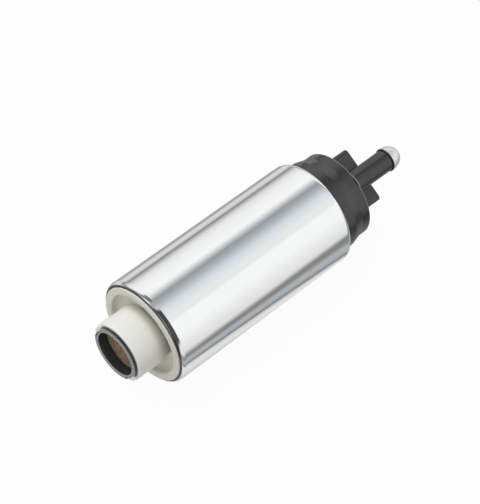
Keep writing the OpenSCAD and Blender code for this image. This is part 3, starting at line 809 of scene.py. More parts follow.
FINISHES = (
    Finish("plated_steel", (0.93, 0.935, 0.94), (0.91, 0.915, 0.92), (0.08, 0.12),
           Grain.DRAWN, 0.5 * MM, 0.0003 * MM, mottle=9 * MM, metallic=1.0,
           wave=(14 * MM, 0.02 * MM), accents=(SHELL_LIP_SHADE,)),
    Finish("white_acetal", (0.81, 0.805, 0.77), (0.78, 0.77, 0.725), (0.36, 0.46),
           Grain.MOULDED, 0.35 * MM, 0.004 * MM, specular=0.4, glow_depth=1.2 * MM,
           accents=(DISH_SHADE, TUBE_ROOT_SHADE)),
    Finish("dark_ring", (0.030, 0.030, 0.030), (0.042, 0.042, 0.041), (0.26, 0.34),
           Grain.TURNED, 0.25 * MM, 0.003 * MM, specular=0.35, accents=(RING_FACE_LIGHT,)),
    Finish("brass_mesh", (0.60, 0.45, 0.29), (0.42, 0.29, 0.17), (0.3, 0.45),
           Grain.DRAWN, 0.1 * MM, 0.003 * MM, mottle=1.2 * MM, metallic=0.4),
    Finish("sintered_steel", (0.38, 0.38, 0.39), (0.30, 0.30, 0.31), (0.35, 0.5),
           Grain.SINTERED, 0.3 * MM, 0.01 * MM, metallic=1.0),
    Finish("ground_steel", (0.72, 0.72, 0.74), (0.64, 0.64, 0.66), (0.14, 0.24),
           Grain.TURNED, 0.1 * MM, 0.002 * MM, metallic=1.0),
    Finish("sintered_bronze", (0.62, 0.40, 0.20), (0.50, 0.31, 0.15), (0.35, 0.5),
           Grain.SINTERED, 0.25 * MM, 0.01 * MM, metallic=1.0),
    Finish("washer_plastic", (0.62, 0.55, 0.33), (0.56, 0.48, 0.28), (0.35, 0.45),
           Grain.MOULDED, 0.3 * MM, 0.006 * MM),
    Finish("lamination_steel", (0.26, 0.26, 0.27), (0.20, 0.20, 0.21), (0.35, 0.5),
           Grain.SHEETS, 0.5 * MM, 0.03 * MM, metallic=1.0),
    Finish("insulator_plastic", (0.05, 0.14, 0.07), (0.035, 0.10, 0.05), (0.3, 0.42),
           Grain.MOULDED, 0.4 * MM, 0.012 * MM),
    Finish("enamelled_copper", (0.62, 0.20, 0.07), (0.48, 0.13, 0.045), (0.18, 0.3),
           Grain.WOUND, 0.4 * MM, 0.12 * MM, metallic=1.0),
    Finish("phenolic", (0.10, 0.045, 0.022), (0.07, 0.03, 0.016), (0.35, 0.45),
           Grain.MOULDED, 0.3 * MM, 0.006 * MM),
    Finish("copper", (0.80, 0.42, 0.26), (0.68, 0.33, 0.20), (0.22, 0.34),
           Grain.TURNED, 0.12 * MM, 0.004 * MM, metallic=1.0),
    Finish("ferrite", (0.035, 0.035, 0.038), (0.05, 0.05, 0.053), (0.45, 0.6),
           Grain.SINTERED, 0.25 * MM, 0.012 * MM),
    Finish("spring_steel", (0.62, 0.63, 0.65), (0.54, 0.55, 0.57), (0.2, 0.3),
           Grain.DRAWN, 0.1 * MM, 0.003 * MM, metallic=1.0),
    Finish("soft_steel", (0.50, 0.50, 0.52), (0.42, 0.42, 0.44), (0.28, 0.4),
           Grain.DRAWN, 0.4 * MM, 0.004 * MM, metallic=1.0),
    Finish("carbon", (0.022, 0.022, 0.023), (0.035, 0.034, 0.034), (0.45, 0.62),
           Grain.SINTERED, 0.18 * MM, 0.012 * MM),
    Finish("tinned_brass", (0.78, 0.77, 0.72), (0.70, 0.66, 0.56), (0.24, 0.36),
           Grain.DRAWN, 0.2 * MM, 0.003 * MM, metallic=1.0),
    Finish("seal_rubber", (0.018, 0.018, 0.018), (0.03, 0.03, 0.03), (0.5, 0.62),
           Grain.MOULDED, 0.25 * MM, 0.008 * MM),
    Finish("black_plastic", (0.0135, 0.0120, 0.0105), (0.019, 0.017, 0.015), (0.19, 0.27),
           Grain.MOULDED, 0.3 * MM, 0.0035 * MM, mottle=4 * MM, specular=0.8,
           accents=(CAP_EDGE_HIGHLIGHT,)),
    Finish("bright_tip", (0.92, 0.92, 0.91), (0.87, 0.87, 0.86), (0.42, 0.52),
           Grain.TURNED, 0.15 * MM, 0.002 * MM, metallic=1.0),
    Finish("poppet_plastic", (0.08, 0.20, 0.12), (0.06, 0.15, 0.09), (0.3, 0.4),
           Grain.MOULDED, 0.3 * MM, 0.006 * MM),
)


class Shelf:
    """Materials of the pump, one for each slot of the record."""

    def __init__(self) -> None:
        """Builds every finish once."""
        self.materials = {finish.slot: finish.build() for finish in FINISHES}

    def dress(self, piece: bpy.types.Object, slot: str) -> None:
        """Gives a piece the finish of a slot.

        Args:
            piece: Object that is painted.
            slot: Slot of the record.
        """
        self.coat(piece, slot)

    def coat(self, piece: bpy.types.Object, slot: str) -> None:
        """Puts a slot's material on an object, in place of what it wore."""
        piece.data.materials.clear()
        piece.data.materials.append(self.materials[slot])


@dataclass
class SubAssembly:
    """Pieces that are made and dressed together.

    Attributes:
        shelf: Materials of the pump.
        pieces: Names of the pieces made so far.
    """

    shelf: Shelf
    pieces: list[str] = field(default_factory=list, init=False)

    def keep(self, piece: bpy.types.Object, slot: str, *nodes: str) -> None:
        """Dresses a piece of the housing and makes it stand for nodes of the frame.

        Args:
            piece: Object that is kept.
            slot: Slot of the record.
            *nodes: Nodes that it stands for.
        """
        smooth(piece)
        self.shelf.dress(piece, slot)
        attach(piece, Body.HOUSING.value)
        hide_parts(*nodes)
        self.pieces.append(piece.name)


@dataclass
class RolledShell(SubAssembly):
    """Plated steel shell with both ends rolled in."""

    wall: float = 0.8 * MM
    roll_r: float = 1.5 * MM
    roll_len: float = 2 * MM
    roll_angle: float = 80.0
    steps: int = 384

    def roll(self, end: float, inwards: int, inset: float, steps: int) -> list[Pair]:
        """Rolled end, from the straight wall to its edge.

        Args:
            end: Station of the end.
            inwards: 1 where the shell lies further along +X than the end, -1 where it doesn't.
            inset: Depth under the outer face.
            steps: Number of chords.

        Returns:
            Points of the section.
        """
        middle_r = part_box("shell")[1].z - self.roll_r
        across = self.roll_r - inset
        points = []
        for i in range(steps + 1):
            turn = math.radians(self.roll_angle * i / steps)
            along = (self.roll_len - inset) * (1 - math.sin(turn)) + inset
            points.append((middle_r + across * math.cos(turn), end + inwards * along))
        return points

    def profile(self) -> list[Pair]:
        """Section of the shell.

        Returns:
            Points outside and then inside, each from end to end.
        """
        near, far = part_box("shell")[0].x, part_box("shell")[1].x
        return (
            self.roll(near, 1, 0.0, 24)[::-1]
            + self.roll(far, -1, 0.0, 24)
            + self.roll(far, -1, self.wall, 12)[::-1]
            + self.roll(near, 1, self.wall, 12)
        )

    def build(self) -> None:
        """Makes the shell."""
        shell = Draft().revolve(self.profile(), steps=self.steps).piece("rolled_shell")
        self.keep(shell, "plated_steel", "shell")


@dataclass
class InletEnd(SubAssembly):
    """White inlet cap with its tube, dish and pump pockets, and the strainer in its mouth."""

    tube_r: float = 11 * MM
    tube_wall: float = 1 * MM
    bore_r: float = 9.3 * MM
    rim_r: float = 18.07 * MM
    rim_w: float = 2.9 * MM
    rim_proud: float = 0.5 * MM
    dish_depth: float = 2.2 * MM
    pocket_depth: float = 5.8 * MM
    upper_pocket: float = 98.0
    lower_pocket: float = 64.0
    pocket_turn: float = 11.0
    lip: float = 0.4 * MM
    soft_lip: float = 0.7 * MM
    root: float = 1.6 * MM
    corner: float = 1.2 * MM
    floor_soft: float = 1.2 * MM
    floor_fillet: float = 0.55 * MM
    floor_t: float = 5.5 * MM
    key_span: float = 21.0
    key_turn: float = -1.0
    notch_span: float = 38.0
    notch_turn: float = 6.5
    key_reach: float = 0.9 * MM
    key_front: float = 0.3 * MM
    ring_proud: float = 1.2 * MM
    ring_wall: float = 1.75 * MM
    screen_set: float = 3.9 * MM
    wire_pitch: float = 0.85 * MM
    wire_r: float = 0.15 * MM
    overlap: float = 0.02 * MM
    floor_chords: int = 24
    port_r: Pair = (6.9 * MM, 9.29 * MM)
    port_step_r: Pair = (9.28 * MM, 11.2 * MM)
    port_step_depth: float = 1.6 * MM
    port_span: float = 112.0
    pad_hole_r: float = 2.4 * MM
    pin_gap: float = 0.01 * MM
    key_root: float = 0.4 * MM
    notch_depth: float = 1.2 * MM
    screen_t: float = 0.4 * MM
    hoop_in: float = 0.35 * MM
    hoop_out: float = 0.29 * MM
    groove_depth: float = 0.31 * MM

    def __post_init__(self) -> None:
        """Reads the cap's stations from the frame."""
        ring_low, ring_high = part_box("strainer_ring")
        self.ring_len = ring_high.x
        self.ring_r = ring_high.z
        self.mouth_x = ring_low.x + self.ring_proud
        self.shell_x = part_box("shell")[0].x
        self.rim_x = self.shell_x - self.rim_proud
        self.end_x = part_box("inlet_cap")[1].x
        self.stack_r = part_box("flux_ring")[1].z
        self.dish_r = self.rim_r - self.rim_w
        self.dish_x = self.rim_x + self.dish_depth
        self.pocket_x = self.rim_x + self.pocket_depth
        self.bore_end_x = self.end_x - self.floor_t
        self.screen_r = self.ring_r - self.ring_wall

    def cap_profile(self) -> list[Pair]:
        """Section of the cap, with the dish at the depth of its pockets.

        Returns:
            Points from the tube's mouth, over the dish and the pump's face, to the bore.
        """
        root_r = self.tube_r - 0.2 * MM
        collar_x = self.dish_x - 0.6 * MM
        shoulder = self.stack_r - self.rim_r
        seat_r = self.tube_r - self.tube_wall
        soft = self.soft_lip
        return (
            [(seat_r, self.mouth_x)]
            + arc((self.tube_r - self.lip, self.mouth_x + self.lip), self.lip, -90, 0, 6)
            + [(self.tube_r, collar_x), (root_r, collar_x + 0.1 * MM)]
            + arc((root_r + self.root, self.pocket_x - self.root), self.root, 180, 90, 10)
            + arc((self.dish_r - self.corner, self.pocket_x - self.corner), self.corner, 90, 0, 8)
            + arc((self.dish_r + soft, self.rim_x + soft), soft, 180, 270)
            + arc((self.rim_r - self.lip, self.rim_x + self.lip), self.lip, -90, 0, 6)
            + [
                (self.rim_r, self.shell_x + 1.5 * MM - shoulder),
                (self.stack_r, self.shell_x + 1.55 * MM),
                (self.stack_r, self.end_x),
                (0.0, self.end_x),
                (0.0, self.bore_end_x),
                (self.bore_r, self.bore_end_x),
                (self.bore_r, self.ring_len + 0.05 * MM),
                (seat_r, self.ring_len + 0.05 * MM),
            ]
        )

    def floor_steps(self, span: float) -> list[Pair]:
        """Rise and fall of a shallow floor along the dish.

        Args:
            span: Angle that the floor covers.

        Returns:
            Points as (angle from its middle, station of its face).
        """
        soft = self.floor_soft
        foot_x = self.pocket_x + self.overlap
        rise = [(soft * math.sin(a) - soft, foot_x - soft * (1 - math.cos(a))) for a in quarter(6)]
        rise += [
            (self.overlap + soft - soft * math.cos(a), self.dish_x + soft * (1 - math.sin(a)))
            for a in quarter(6)
        ]
        per_metre = math.degrees(2 / (self.tube_r + self.dish_r))
        first = [(-span / 2 + along * per_metre, x) for along, x in rise]
        start, chords = first[-1][0], self.floor_chords
        level = [(start + 2 * start / -chords * i, self.dish_x) for i in range(1, chords)]
        return first + level + [(-a, x) for a, x in first[::-1]]

    def shallow_floor(self, draft: Draft, middle: float) -> None:
        """Draws one of the two shallow floors of the dish, with soft edges all round.

        Args:
            draft: Draft that it is added to.
            middle: Angle at the middle of the floor.
        """
        soft = self.floor_fillet
        inner, outer = self.tube_r - self.overlap, self.dish_r + self.overlap
        inner_back, outer_back = inner - 0.4 * MM, outer + 0.4 * MM
        back = self.pocket_x + 0.5 * MM
        span = 180 - (self.upper_pocket + self.lower_pocket) / 2
        loops = []
        for angle, x in self.floor_steps(span):
            section = (
                [(inner_back, x - soft)]
                + arc((inner + soft, x - soft), soft, 180, 90, 5)
                + arc((outer - soft, x - soft), soft, 90, 0, 5)
                + [(outer_back, x - soft), (outer_back, back), (inner_back, back)]
            )
            loops.append([around(r, station, middle + angle) for r, station in section])
        draft.skin(loops, closed=False)

    def ports(self) -> bpy.types.Object:
        """Kidney ports, the bore for the shaft's end and the holes for the locating pins.

        Returns:
            Tool that cuts them from the cap.
        """
        draft = Draft()
        low, high = self.bore_end_x - 1 * MM, self.end_x + 1 * MM
        draft.revolve(band(*self.port_r, low, high), span=self.port_span, at=90)
        step = self.end_x - self.port_step_depth
        draft.revolve(band(*self.port_step_r, step, high), span=self.port_span, at=90)
        pad_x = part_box("thrust_pad")[0].x
        draft.revolve(stepped((self.pad_hole_r, pad_x, high)), steps=48)
        pin_low, pin_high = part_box("locating_pins")
        hole = stepped((pin_high.z + self.pin_gap, pin_low.x, high))
        for side in Side:
            pin_y = side.value * (pin_high.y - pin_high.z)
            draft.revolve(hole, axis=(pin_y, 0.0), steps=32)
        return draft.piece("inlet_ports")

    def key_ring(
        self, draft: Draft, stations: Pair, span: float, turn: float, grow: float = 0.0
    ) -> None:
        """Draws a pair of blocks between the ring and the tube's mouth.

        Args:
            draft: Draft that they are added to.
            stations: Stations of their near and far ends.
            span: Angle that each covers.
            turn: Angle of their middles below the pump's sides.
            grow: How much more than the keys they hold on the inside and outside.
        """
        inner, outer = self.ring_r - self.key_reach - grow, self.tube_r - 0.3 * MM + grow
        for side in Side:
            draft.revolve(band(inner, outer, *stations), span=span, at=-side.value * (90 + turn))

    def build_cap(self) -> None:
        """Makes the white cap."""
        cap = Draft().revolve(self.cap_profile(), steps=256).piece("inlet_end_cap")
        combine(cap, self.ports(), Join.CUT)
        added = Draft()
        stations = (self.key_front, self.mouth_x + self.key_root)
        self.key_ring(added, stations, self.key_span, self.key_turn)
        added.bevel(0.3 * MM, 3)
        lean = (self.upper_pocket - self.lower_pocket) / 4
        for side in Side:
            self.shallow_floor(added, self.pocket_turn + side.value * (90 + lean))
        combine(cap, added.piece("floors_and_keys"), Join.ADD)
        self.keep(cap, "white_acetal", "inlet_cap")

    def build_ring(self) -> None:
        """Makes the dark ring that holds the screen."""
        bore_r, lip = self.screen_r, 0.35 * MM
        back_r, groove_r = bore_r - 0.9 * MM, bore_r + self.groove_depth
        groove_x, ledge = self.screen_set - 0.3 * MM, self.screen_set + 0.41 * MM
        profile = (
            arc((bore_r + lip, lip), lip, 180, 270, 6)
            + arc((self.ring_r - lip, lip), lip, -90, 0, 6)
            + [(self.ring_r, self.ring_len), (back_r, self.ring_len), (back_r, ledge)]
            + [(groove_r, ledge), (groove_r, groove_x), (bore_r, groove_x)]
        )
        ring = Draft().revolve(profile, steps=224).piece("strainer_holder")
        notches = Draft()
        stations = (-1 * MM, self.mouth_x + self.notch_depth)
        self.key_ring(notches, stations, self.notch_span, self.notch_turn, grow=0.1 * MM)
        combine(ring, notches.piece("notches"), Join.CUT)
        self.keep(ring, "dark_ring", "strainer_ring")

    def wire(self, line: int, warp: bool, reach: float) -> list[Vector]:
        """Centre line of one wire, which goes over and under those across it.

        Args:
            line: Number of the wire, counted from the middle.
            warp: Whether it runs along Z, and not along Y.
            reach: Half its length.

        Returns:
            Points of the line.
        """
        offset = line * self.wire_pitch
        steps = max(4, 2 * int(reach / self.wire_pitch) * 2)
        path = []
        for i in range(steps + 1):
            along = -reach + 2 * reach * i / steps
            phase = math.pi * (along / self.wire_pitch + line + (0 if warp else 1))
            x = self.screen_set + self.screen_t / 2 + 0.95 * self.wire_r * math.cos(phase)
            path.append(Vector((x, offset, along) if warp else (x, along, offset)))
        return path

    def build_screen(self) -> None:
        """Makes the woven screen and its hoop."""
        hoop_r = self.screen_r - self.hoop_in
        back = self.screen_set + self.screen_t
        draft = Draft()
        draft.revolve(
            band(hoop_r, self.screen_r + self.hoop_out, self.screen_set, back), steps=96
        )
        count = int(hoop_r / self.wire_pitch)
        for line in range(-count, count + 1):
            reach = math.sqrt((hoop_r + 0.1 * MM) ** 2 - (line * self.wire_pitch) ** 2)
            for warp in (True, False):
                draft.tube(self.wire(line, warp, reach), self.wire_r, 5)
        self.keep(draft.piece("woven_screen"), "brass_mesh", "inlet_screen")

    def build(self) -> None:
        """Makes the cap, the ring and the screen."""
        self.build_cap()
        self.build_ring()
        self.build_screen()


def blade_blocks(side: Side, grow: float) -> list[tuple[Vector, Vector]]:
    """Blade, arm and tail of a terminal, each as its two corners.

    Args:
        side: Side of the pump.
        grow: How much larger than the terminal the blocks are.

    Returns:
        The three pairs of corners.
    """
    thick, wide, tail_half = 0.8 * MM, 2.8 * MM, 1.2 * MM
    low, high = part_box(f"terminal_{side.word}")
    thick, wide, tail_half = 0.8 * MM, 2.8 * MM, 1.2 * MM
    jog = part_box("relief_plug")[0].x + 1 * MM
    y = (low.y + high.y) / 2
    more = Vector((grow, grow, grow))
    blocks = (
        (Vector((jog, y - thick / 2, low.z)), Vector((high.x, y + thick / 2, low.z + wide))),
        (Vector((jog, y - thick / 2, low.z)), Vector((jog + thick, y + thick / 2, high.z))),
        (
            Vector((low.x, y - tail_half, high.z - thick)),
            Vector((jog + thick, y + tail_half, high.z)),
        ),
    )
    return [(near - more, far + more) for near, far in blocks]


@dataclass
class OutletEnd(SubAssembly):
    """Black outlet cap with its tube, connector shroud, brush tower and valve chambers."""

    cap_r: float = 16.15 * MM
    foot_r: float = 17.3 * MM
    foot_h: float = 4.2 * MM
    flare_h: float = 4.1 * MM
    rim_r: float = 18.07 * MM
    wall: float = 2 * MM
    end_wall: float = 2.3 * MM
    edge_r: float = 0.3 * MM
    seal_r: float = 0.85 * MM
    plug_set: float = 0.3 * MM
    shroud_d: float = 11 * MM
    shroud_w: float = 21 * MM
    shroud_h: float = 9.4 * MM
    shroud_shift: float = 0.5 * MM
    shroud_wall: float = 1.2 * MM
    shroud_corner: float = 1.5 * MM
    tube_r: float = 3.95 * MM
    tube_bore_r: float = 2.9 * MM
    tube_root: float = 0.7 * MM
    barb_r: float = 4.4 * MM
    barb_t: float = 0.5 * MM
    relief_z: float = -11 * MM
    relief_depth: float = 10 * MM
    relief_boss_r: float = 3.1 * MM
    relief_hole_r: float = 1.0 * MM
    relief_r: float = 1.9 * MM
    relief_mouth_r: float = 2.2 * MM
    relief_seat_h: float = 2 * MM
    cone_h: float = 0.9 * MM
    check_hole_r: float = 2.0 * MM
    shaft_hole_r: float = 2.3 * MM
    bearing_boss_r: float = 4.8 * MM
    bearing_boss_h: float = 2.5 * MM
    tower_half: Pair = (10.58 * MM, 3.18 * MM)
    brush_y: float = 7.3 * MM
    well_half: Pair = (2.18 * MM, 2.08 * MM)
    well_len: float = 15.5 * MM
    slot_half: float = 0.8 * MM
    slot_h: float = 4.2 * MM
    slot_len: float = 5.73 * MM
    latch_half: float = 2.0 * MM
    latch_set: float = 5 * MM
    fit: float = 0.01 * MM

    def __post_init__(self) -> None:
        """Reads the cap's stations from the frame."""
        self.shell_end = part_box("shell")[1].x
        self.stack_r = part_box("flux_ring")[1].z
        self.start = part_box("flux_ring")[1].x
        self.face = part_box("relief_plug")[1].x + self.plug_set
        self.inside = self.face - self.end_wall
        self.tube_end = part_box("outlet_cap")[1].x
        self.tube_z = box_middle("outlet_tip")[2]
        self.shroud_z = self.tube_z - self.tube_r - 1.05 * MM - self.shroud_d / 2
        self.bearing_x = (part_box("upper_bearing")[0].x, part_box("upper_bearing")[1].x)
        self.relief_x = self.inside - self.relief_depth

    def barrel_profile(self) -> list[Pair]:
        """Section of the cap's wall.

        Returns:
            Points along the skirt, groove, shoulder, foot, cone, barrel and hollow.
        """
        ease = 0.5 * MM
        foot_x = self.shell_end + self.foot_h
        flare_x = foot_x + self.flare_h
        slope = (self.foot_r - self.cap_r) / self.flare_h
        shoulder = self.stack_r - self.rim_r
        seal_x = box_middle("cap_seal")[0]
        groove_r = self.stack_r + 0.05 * MM - 2 * self.seal_r - self.fit
        wide, narrow = self.foot_r - self.wall, self.cap_r - self.wall
        step = foot_x - 0.4 * MM
        return (
            [
                (wide, self.start),
                (self.stack_r, self.start),
                (self.stack_r, seal_x - self.seal_r),
                (groove_r, seal_x - self.seal_r),
                (groove_r, seal_x + self.seal_r),
                (self.stack_r, seal_x + self.seal_r),
                (self.stack_r, self.shell_end - 1.55 * MM),
                (self.rim_r, self.shell_end - 1.5 * MM + shoulder),
                (self.rim_r, self.shell_end + 0.4 * MM),
                (self.foot_r, self.shell_end + 0.9 * MM),
                (self.foot_r, foot_x - ease / 2),
                (self.foot_r - slope * ease / 2, foot_x + ease / 2),
                (self.cap_r + slope * ease / 2, flare_x - ease / 2),
                (self.cap_r, flare_x + ease / 2),
            ]
            + arc((self.cap_r - self.edge_r, self.face - self.edge_r), self.edge_r, 0, 90, 8)
            + [(0.0, self.face), (0.0, self.inside), (narrow, self.inside)]
            + [(narrow, step + 0.6 * MM), (wide, step)]
        )

    def shroud(self, draft: Draft) -> None:
        """Draws the connector shroud, with a rounded rim.

        Args:
            draft: Draft that it is added to.
        """
        wall, rim = self.shroud_wall, 0.35 * MM
        foot, top = self.face - 0.4 * MM, self.face + self.shroud_h
        section = (
            [(0.0, foot)]
            + [(rim - rim * math.cos(a), top - rim + rim * math.sin(a)) for a in quarter(5)]
            + [(wall - rim + rim * math.sin(a), top - rim + rim * math.cos(a)) for a in quarter(5)]
            + [(wall, foot)]
        )
        loops = []
        for inset, x in section:
            depth, width = self.shroud_d - 2 * inset, self.shroud_w - 2 * inset
            outline = round_rect(depth, width, max(self.shroud_corner - inset, 0.2 * MM))
            middle_y, middle_z = self.shroud_shift, self.shroud_z
            loops.append([Vector((x, middle_y - b, middle_z + a)) for a, b in outline])
        draft.skin(loops)

    def latch(self, draft: Draft) -> None:
        """Draws the ramp on the shroud that the plug's latch rides over, with soft edges.

        Args:
            draft: Draft that it is added to.
        """
        back = self.shroud_z - self.shroud_d / 2 + 0.05 * MM
        start = self.face + self.shroud_h - self.latch_set
        ramp = [(0.0, 0.0), (-1.0 * MM, 0.0), (-1.0 * MM, 0.6 * MM), (0.0, 3.0 * MM)]
        loops = [
            [Vector((start + x, self.shroud_shift + y, back + z)) for z, x in ramp]
            for y in (-self.latch_half, self.latch_half)
        ]
        draft.skin(loops, closed=False).bevel(0.2 * MM, 2)

    def tube(self, draft: Draft) -> None:
        """Draws the outlet tube with its root fillet and barb ring.

        Args:
            draft: Draft that it is added to.
        """
        ease = 0.15 * MM
        foot = self.face - 0.4 * MM
        root_r = self.tube_r + self.tube_root
        profile = (
            [(0.0, foot), (root_r, foot)]
            + arc((root_r, self.face + self.tube_root), self.tube_root, 270, 180, 8)
            + [(self.tube_r, self.tube_end - self.barb_t)]
            + arc((self.barb_r - ease, self.tube_end - self.barb_t + ease), ease, -90, 0, 3)
            + arc((self.barb_r - ease, self.tube_end - ease), ease, 0, 90, 3)
            + [(0.0, self.tube_end)]
        )
        draft.revolve(profile, axis=(0.0, self.tube_z), steps=96)

    def bosses(self, draft: Draft) -> None:
        """Draws the brush tower, the bearing boss and the relief valve's boss inside the cap.

        Args:
            draft: Draft that they are added to.
        """
        low, deep = self.start - 0.5 * MM, self.inside + 0.2 * MM
        y, z = self.tower_half
        draft.block(Vector((low, -y, -z)), Vector((deep, y, z)))
        reach = self.bearing_x[1] + self.bearing_boss_h
        draft.revolve(stepped((self.bearing_boss_r, low, reach)), steps=64)
        relief = stepped((self.relief_boss_r, self.relief_x, deep))
        draft.revolve(relief, axis=(0.0, self.relief_z), steps=64)

    def wells(self, draft: Draft) -> None:
        """Draws the brush wells, lead slots and terminal slots that are cut.

        Args:
            draft: Draft that they are added to.
        """
        low = self.start - 1.5 * MM
        half_w, half_h = self.well_half
        for side in Side:
            y = side.value * self.brush_y
            well_end, slot_end = self.start + self.well_len, self.start + self.slot_len
            draft.block(Vector((low, y - half_w, -half_h)), Vector((well_end, y + half_w, half_h)))
            draft.block(
                Vector((low, y - self.slot_half, 0.0)),
                Vector((slot_end, y + self.slot_half, self.slot_h)),
            )
            for corners in blade_blocks(side, self.fit):
                draft.block(*corners)

    def bores(self, draft: Draft) -> None:
        """Draws the bearing bore, the shaft bore and both valve chambers that are cut.

        Args:
            draft: Draft that they are added to.
        """
        near, far = self.bearing_x
        bush_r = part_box("upper_bearing")[1].z + self.fit
        bearing = stepped(
            (self.shaft_hole_r, self.start - 1.5 * MM, near),
            (bush_r, near, far),
            (self.shaft_hole_r, far, far + 1 * MM),
        )
        seat = self.face - 0.4 * MM
        check = stepped(
            (self.check_hole_r, self.inside - 1 * MM, seat),
            (self.tube_bore_r, seat + self.cone_h, self.tube_end + 1 * MM),
        )
        relief_seat = self.relief_x + self.relief_seat_h
        relief = stepped(
            (self.relief_hole_r, self.relief_x - 1 * MM, relief_seat),
            (self.relief_r, relief_seat + self.cone_h, self.face - 0.3 * MM),
            (self.relief_mouth_r, self.face + self.fit, self.face + 1 * MM),
        )
        for section, z in ((bearing, 0.0), (check, self.tube_z), (relief, self.relief_z)):
            draft.revolve(section, axis=(0.0, z), steps=64)

    def build(self) -> None:
        """Makes the cap as one moulding."""
        cap = Draft().revolve(self.barrel_profile(), steps=256).piece("outlet_end_cap")
        added, cut = Draft(), Draft()
        for draw in (self.latch, self.bosses, self.shroud, self.tube):
            draw(added)
        combine(cap, added.piece("additions"), Join.ADD)
        self.wells(cut)
        self.bores(cut)
        combine(cap, cut.piece("cuts"), Join.CUT)
        self.keep(cap, "black_plastic", "outlet_cap")


@dataclass
class OutletTip(SubAssembly):
    """Bright domed tip pressed into the outlet tube."""

    collar: float = 0.4 * MM
    shank_r: float = 2.89 * MM
    bore_r: float = 1.7 * MM
    nose: float = 0.7 * MM
    ease: float = 0.25 * MM
    chords: int = 24

    def build(self) -> None:
        """Makes the tip."""
        low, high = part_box("outlet_tip")
        r = (high.z - low.z) / 2
        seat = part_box("outlet_cap")[1].x
        nose_r = self.bore_r + self.nose
        last = math.acos(nose_r / r)
        dome_x = seat + self.collar
        tall = (high.x - dome_x) / math.sin(last)
        turns = [last * i / self.chords for i in range(self.chords)]
        profile = (
            [(self.bore_r, low.x), (self.shank_r, low.x), (self.shank_r, seat), (r, seat)]
            + [(r * math.cos(a), dome_x + tall * math.sin(a)) for a in turns]
            + arc((nose_r - self.ease, high.x - self.ease), self.ease, 30, 90, 4)
            + arc((self.bore_r + self.ease, high.x - self.ease), self.ease, 90, 180, 5)
        )
        axis = (0.0, box_middle("outlet_tip")[2])
        tip = Draft().revolve(profile, axis=axis, steps=160).piece("domed_tip")
        self.keep(tip, "bright_tip", "outlet_tip")


@dataclass
class Terminals(SubAssembly):
    """Two tinned blades that pass through the cap's end wall."""

    def build(self) -> None:
        """Makes both blades, with bevelled tips."""
        for side in Side:
            blade, arm, tail = (Draft().block(*corners) for corners in blade_blocks(side, 0.0))
            made = blade.bevel(0.22 * MM, 3).piece(f"blade_{side.word}")
            combine(made, arm.bevel(0.08 * MM, 2).piece("arm"), Join.ADD)
            combine(made, tail.bevel(0.08 * MM, 2).piece("tail"), Join.ADD)
            self.keep(made, "tinned_brass", f"terminal_{side.word}")


@dataclass
class Springs(SubAssembly):
    """Wire springs behind the brushes and in both valves."""

    sides: int = 10
    steps_per_curl: int = 32
    dead_curls: float = 0.8
    closed_pitch: float = 2.05

    def coil(self, name: str, curls: int, wire_r: float) -> bpy.types.Object:
        """Makes a spring with closed ends in the place of its node.

        Args:
            name: Node that it stands for.
            curls: Number of curls.
            wire_r: Radius of the wire.

        Returns:
            The spring.
        """
        low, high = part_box(name)
        axis = Vector((0.0, *box_middle(name)[1:]))
        coil_r = (high.z - low.z) / 2 - wire_r
        start, end = low.x + wire_r, high.x - wire_r
        dead, pitch = self.dead_curls, self.closed_pitch * wire_r
        climb = end - start - 2 * pitch * dead
        count = curls * self.steps_per_curl
        path = []
        for i in range(count + 1):
            turn = curls * i / count
            live = min(max((turn - dead) / (curls - 2 * dead), 0.0), 1.0)
            closed = min(turn, dead) + max(turn - (curls - dead), 0.0)
            x = start + pitch * closed + climb * live
            path.append(axis + around(coil_r, x, 360.0 * turn))
        return Draft().tube(path, wire_r, self.sides).piece(f"coil_{name}")

    def build(self) -> None:
        """Makes the four springs."""
        jobs = (
            ("brush_spring_left", 7, 0.2 * MM, "brush_left_slide", 1.5 * MM),
            ("brush_spring_right", 7, 0.2 * MM, "brush_right_slide", 1.5 * MM),
            ("check_spring", 7, 0.25 * MM, "check_valve_lift", 2.5 * MM),
            ("relief_spring", 5, 0.18 * MM, "relief_valve_lift", 1.5 * MM),
        )
        for node, curls, wire_r, joint, travel in jobs:
            spring = self.coil(node, curls, wire_r)
            self.keep(spring, "spring_steel", node)
            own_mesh(spring)


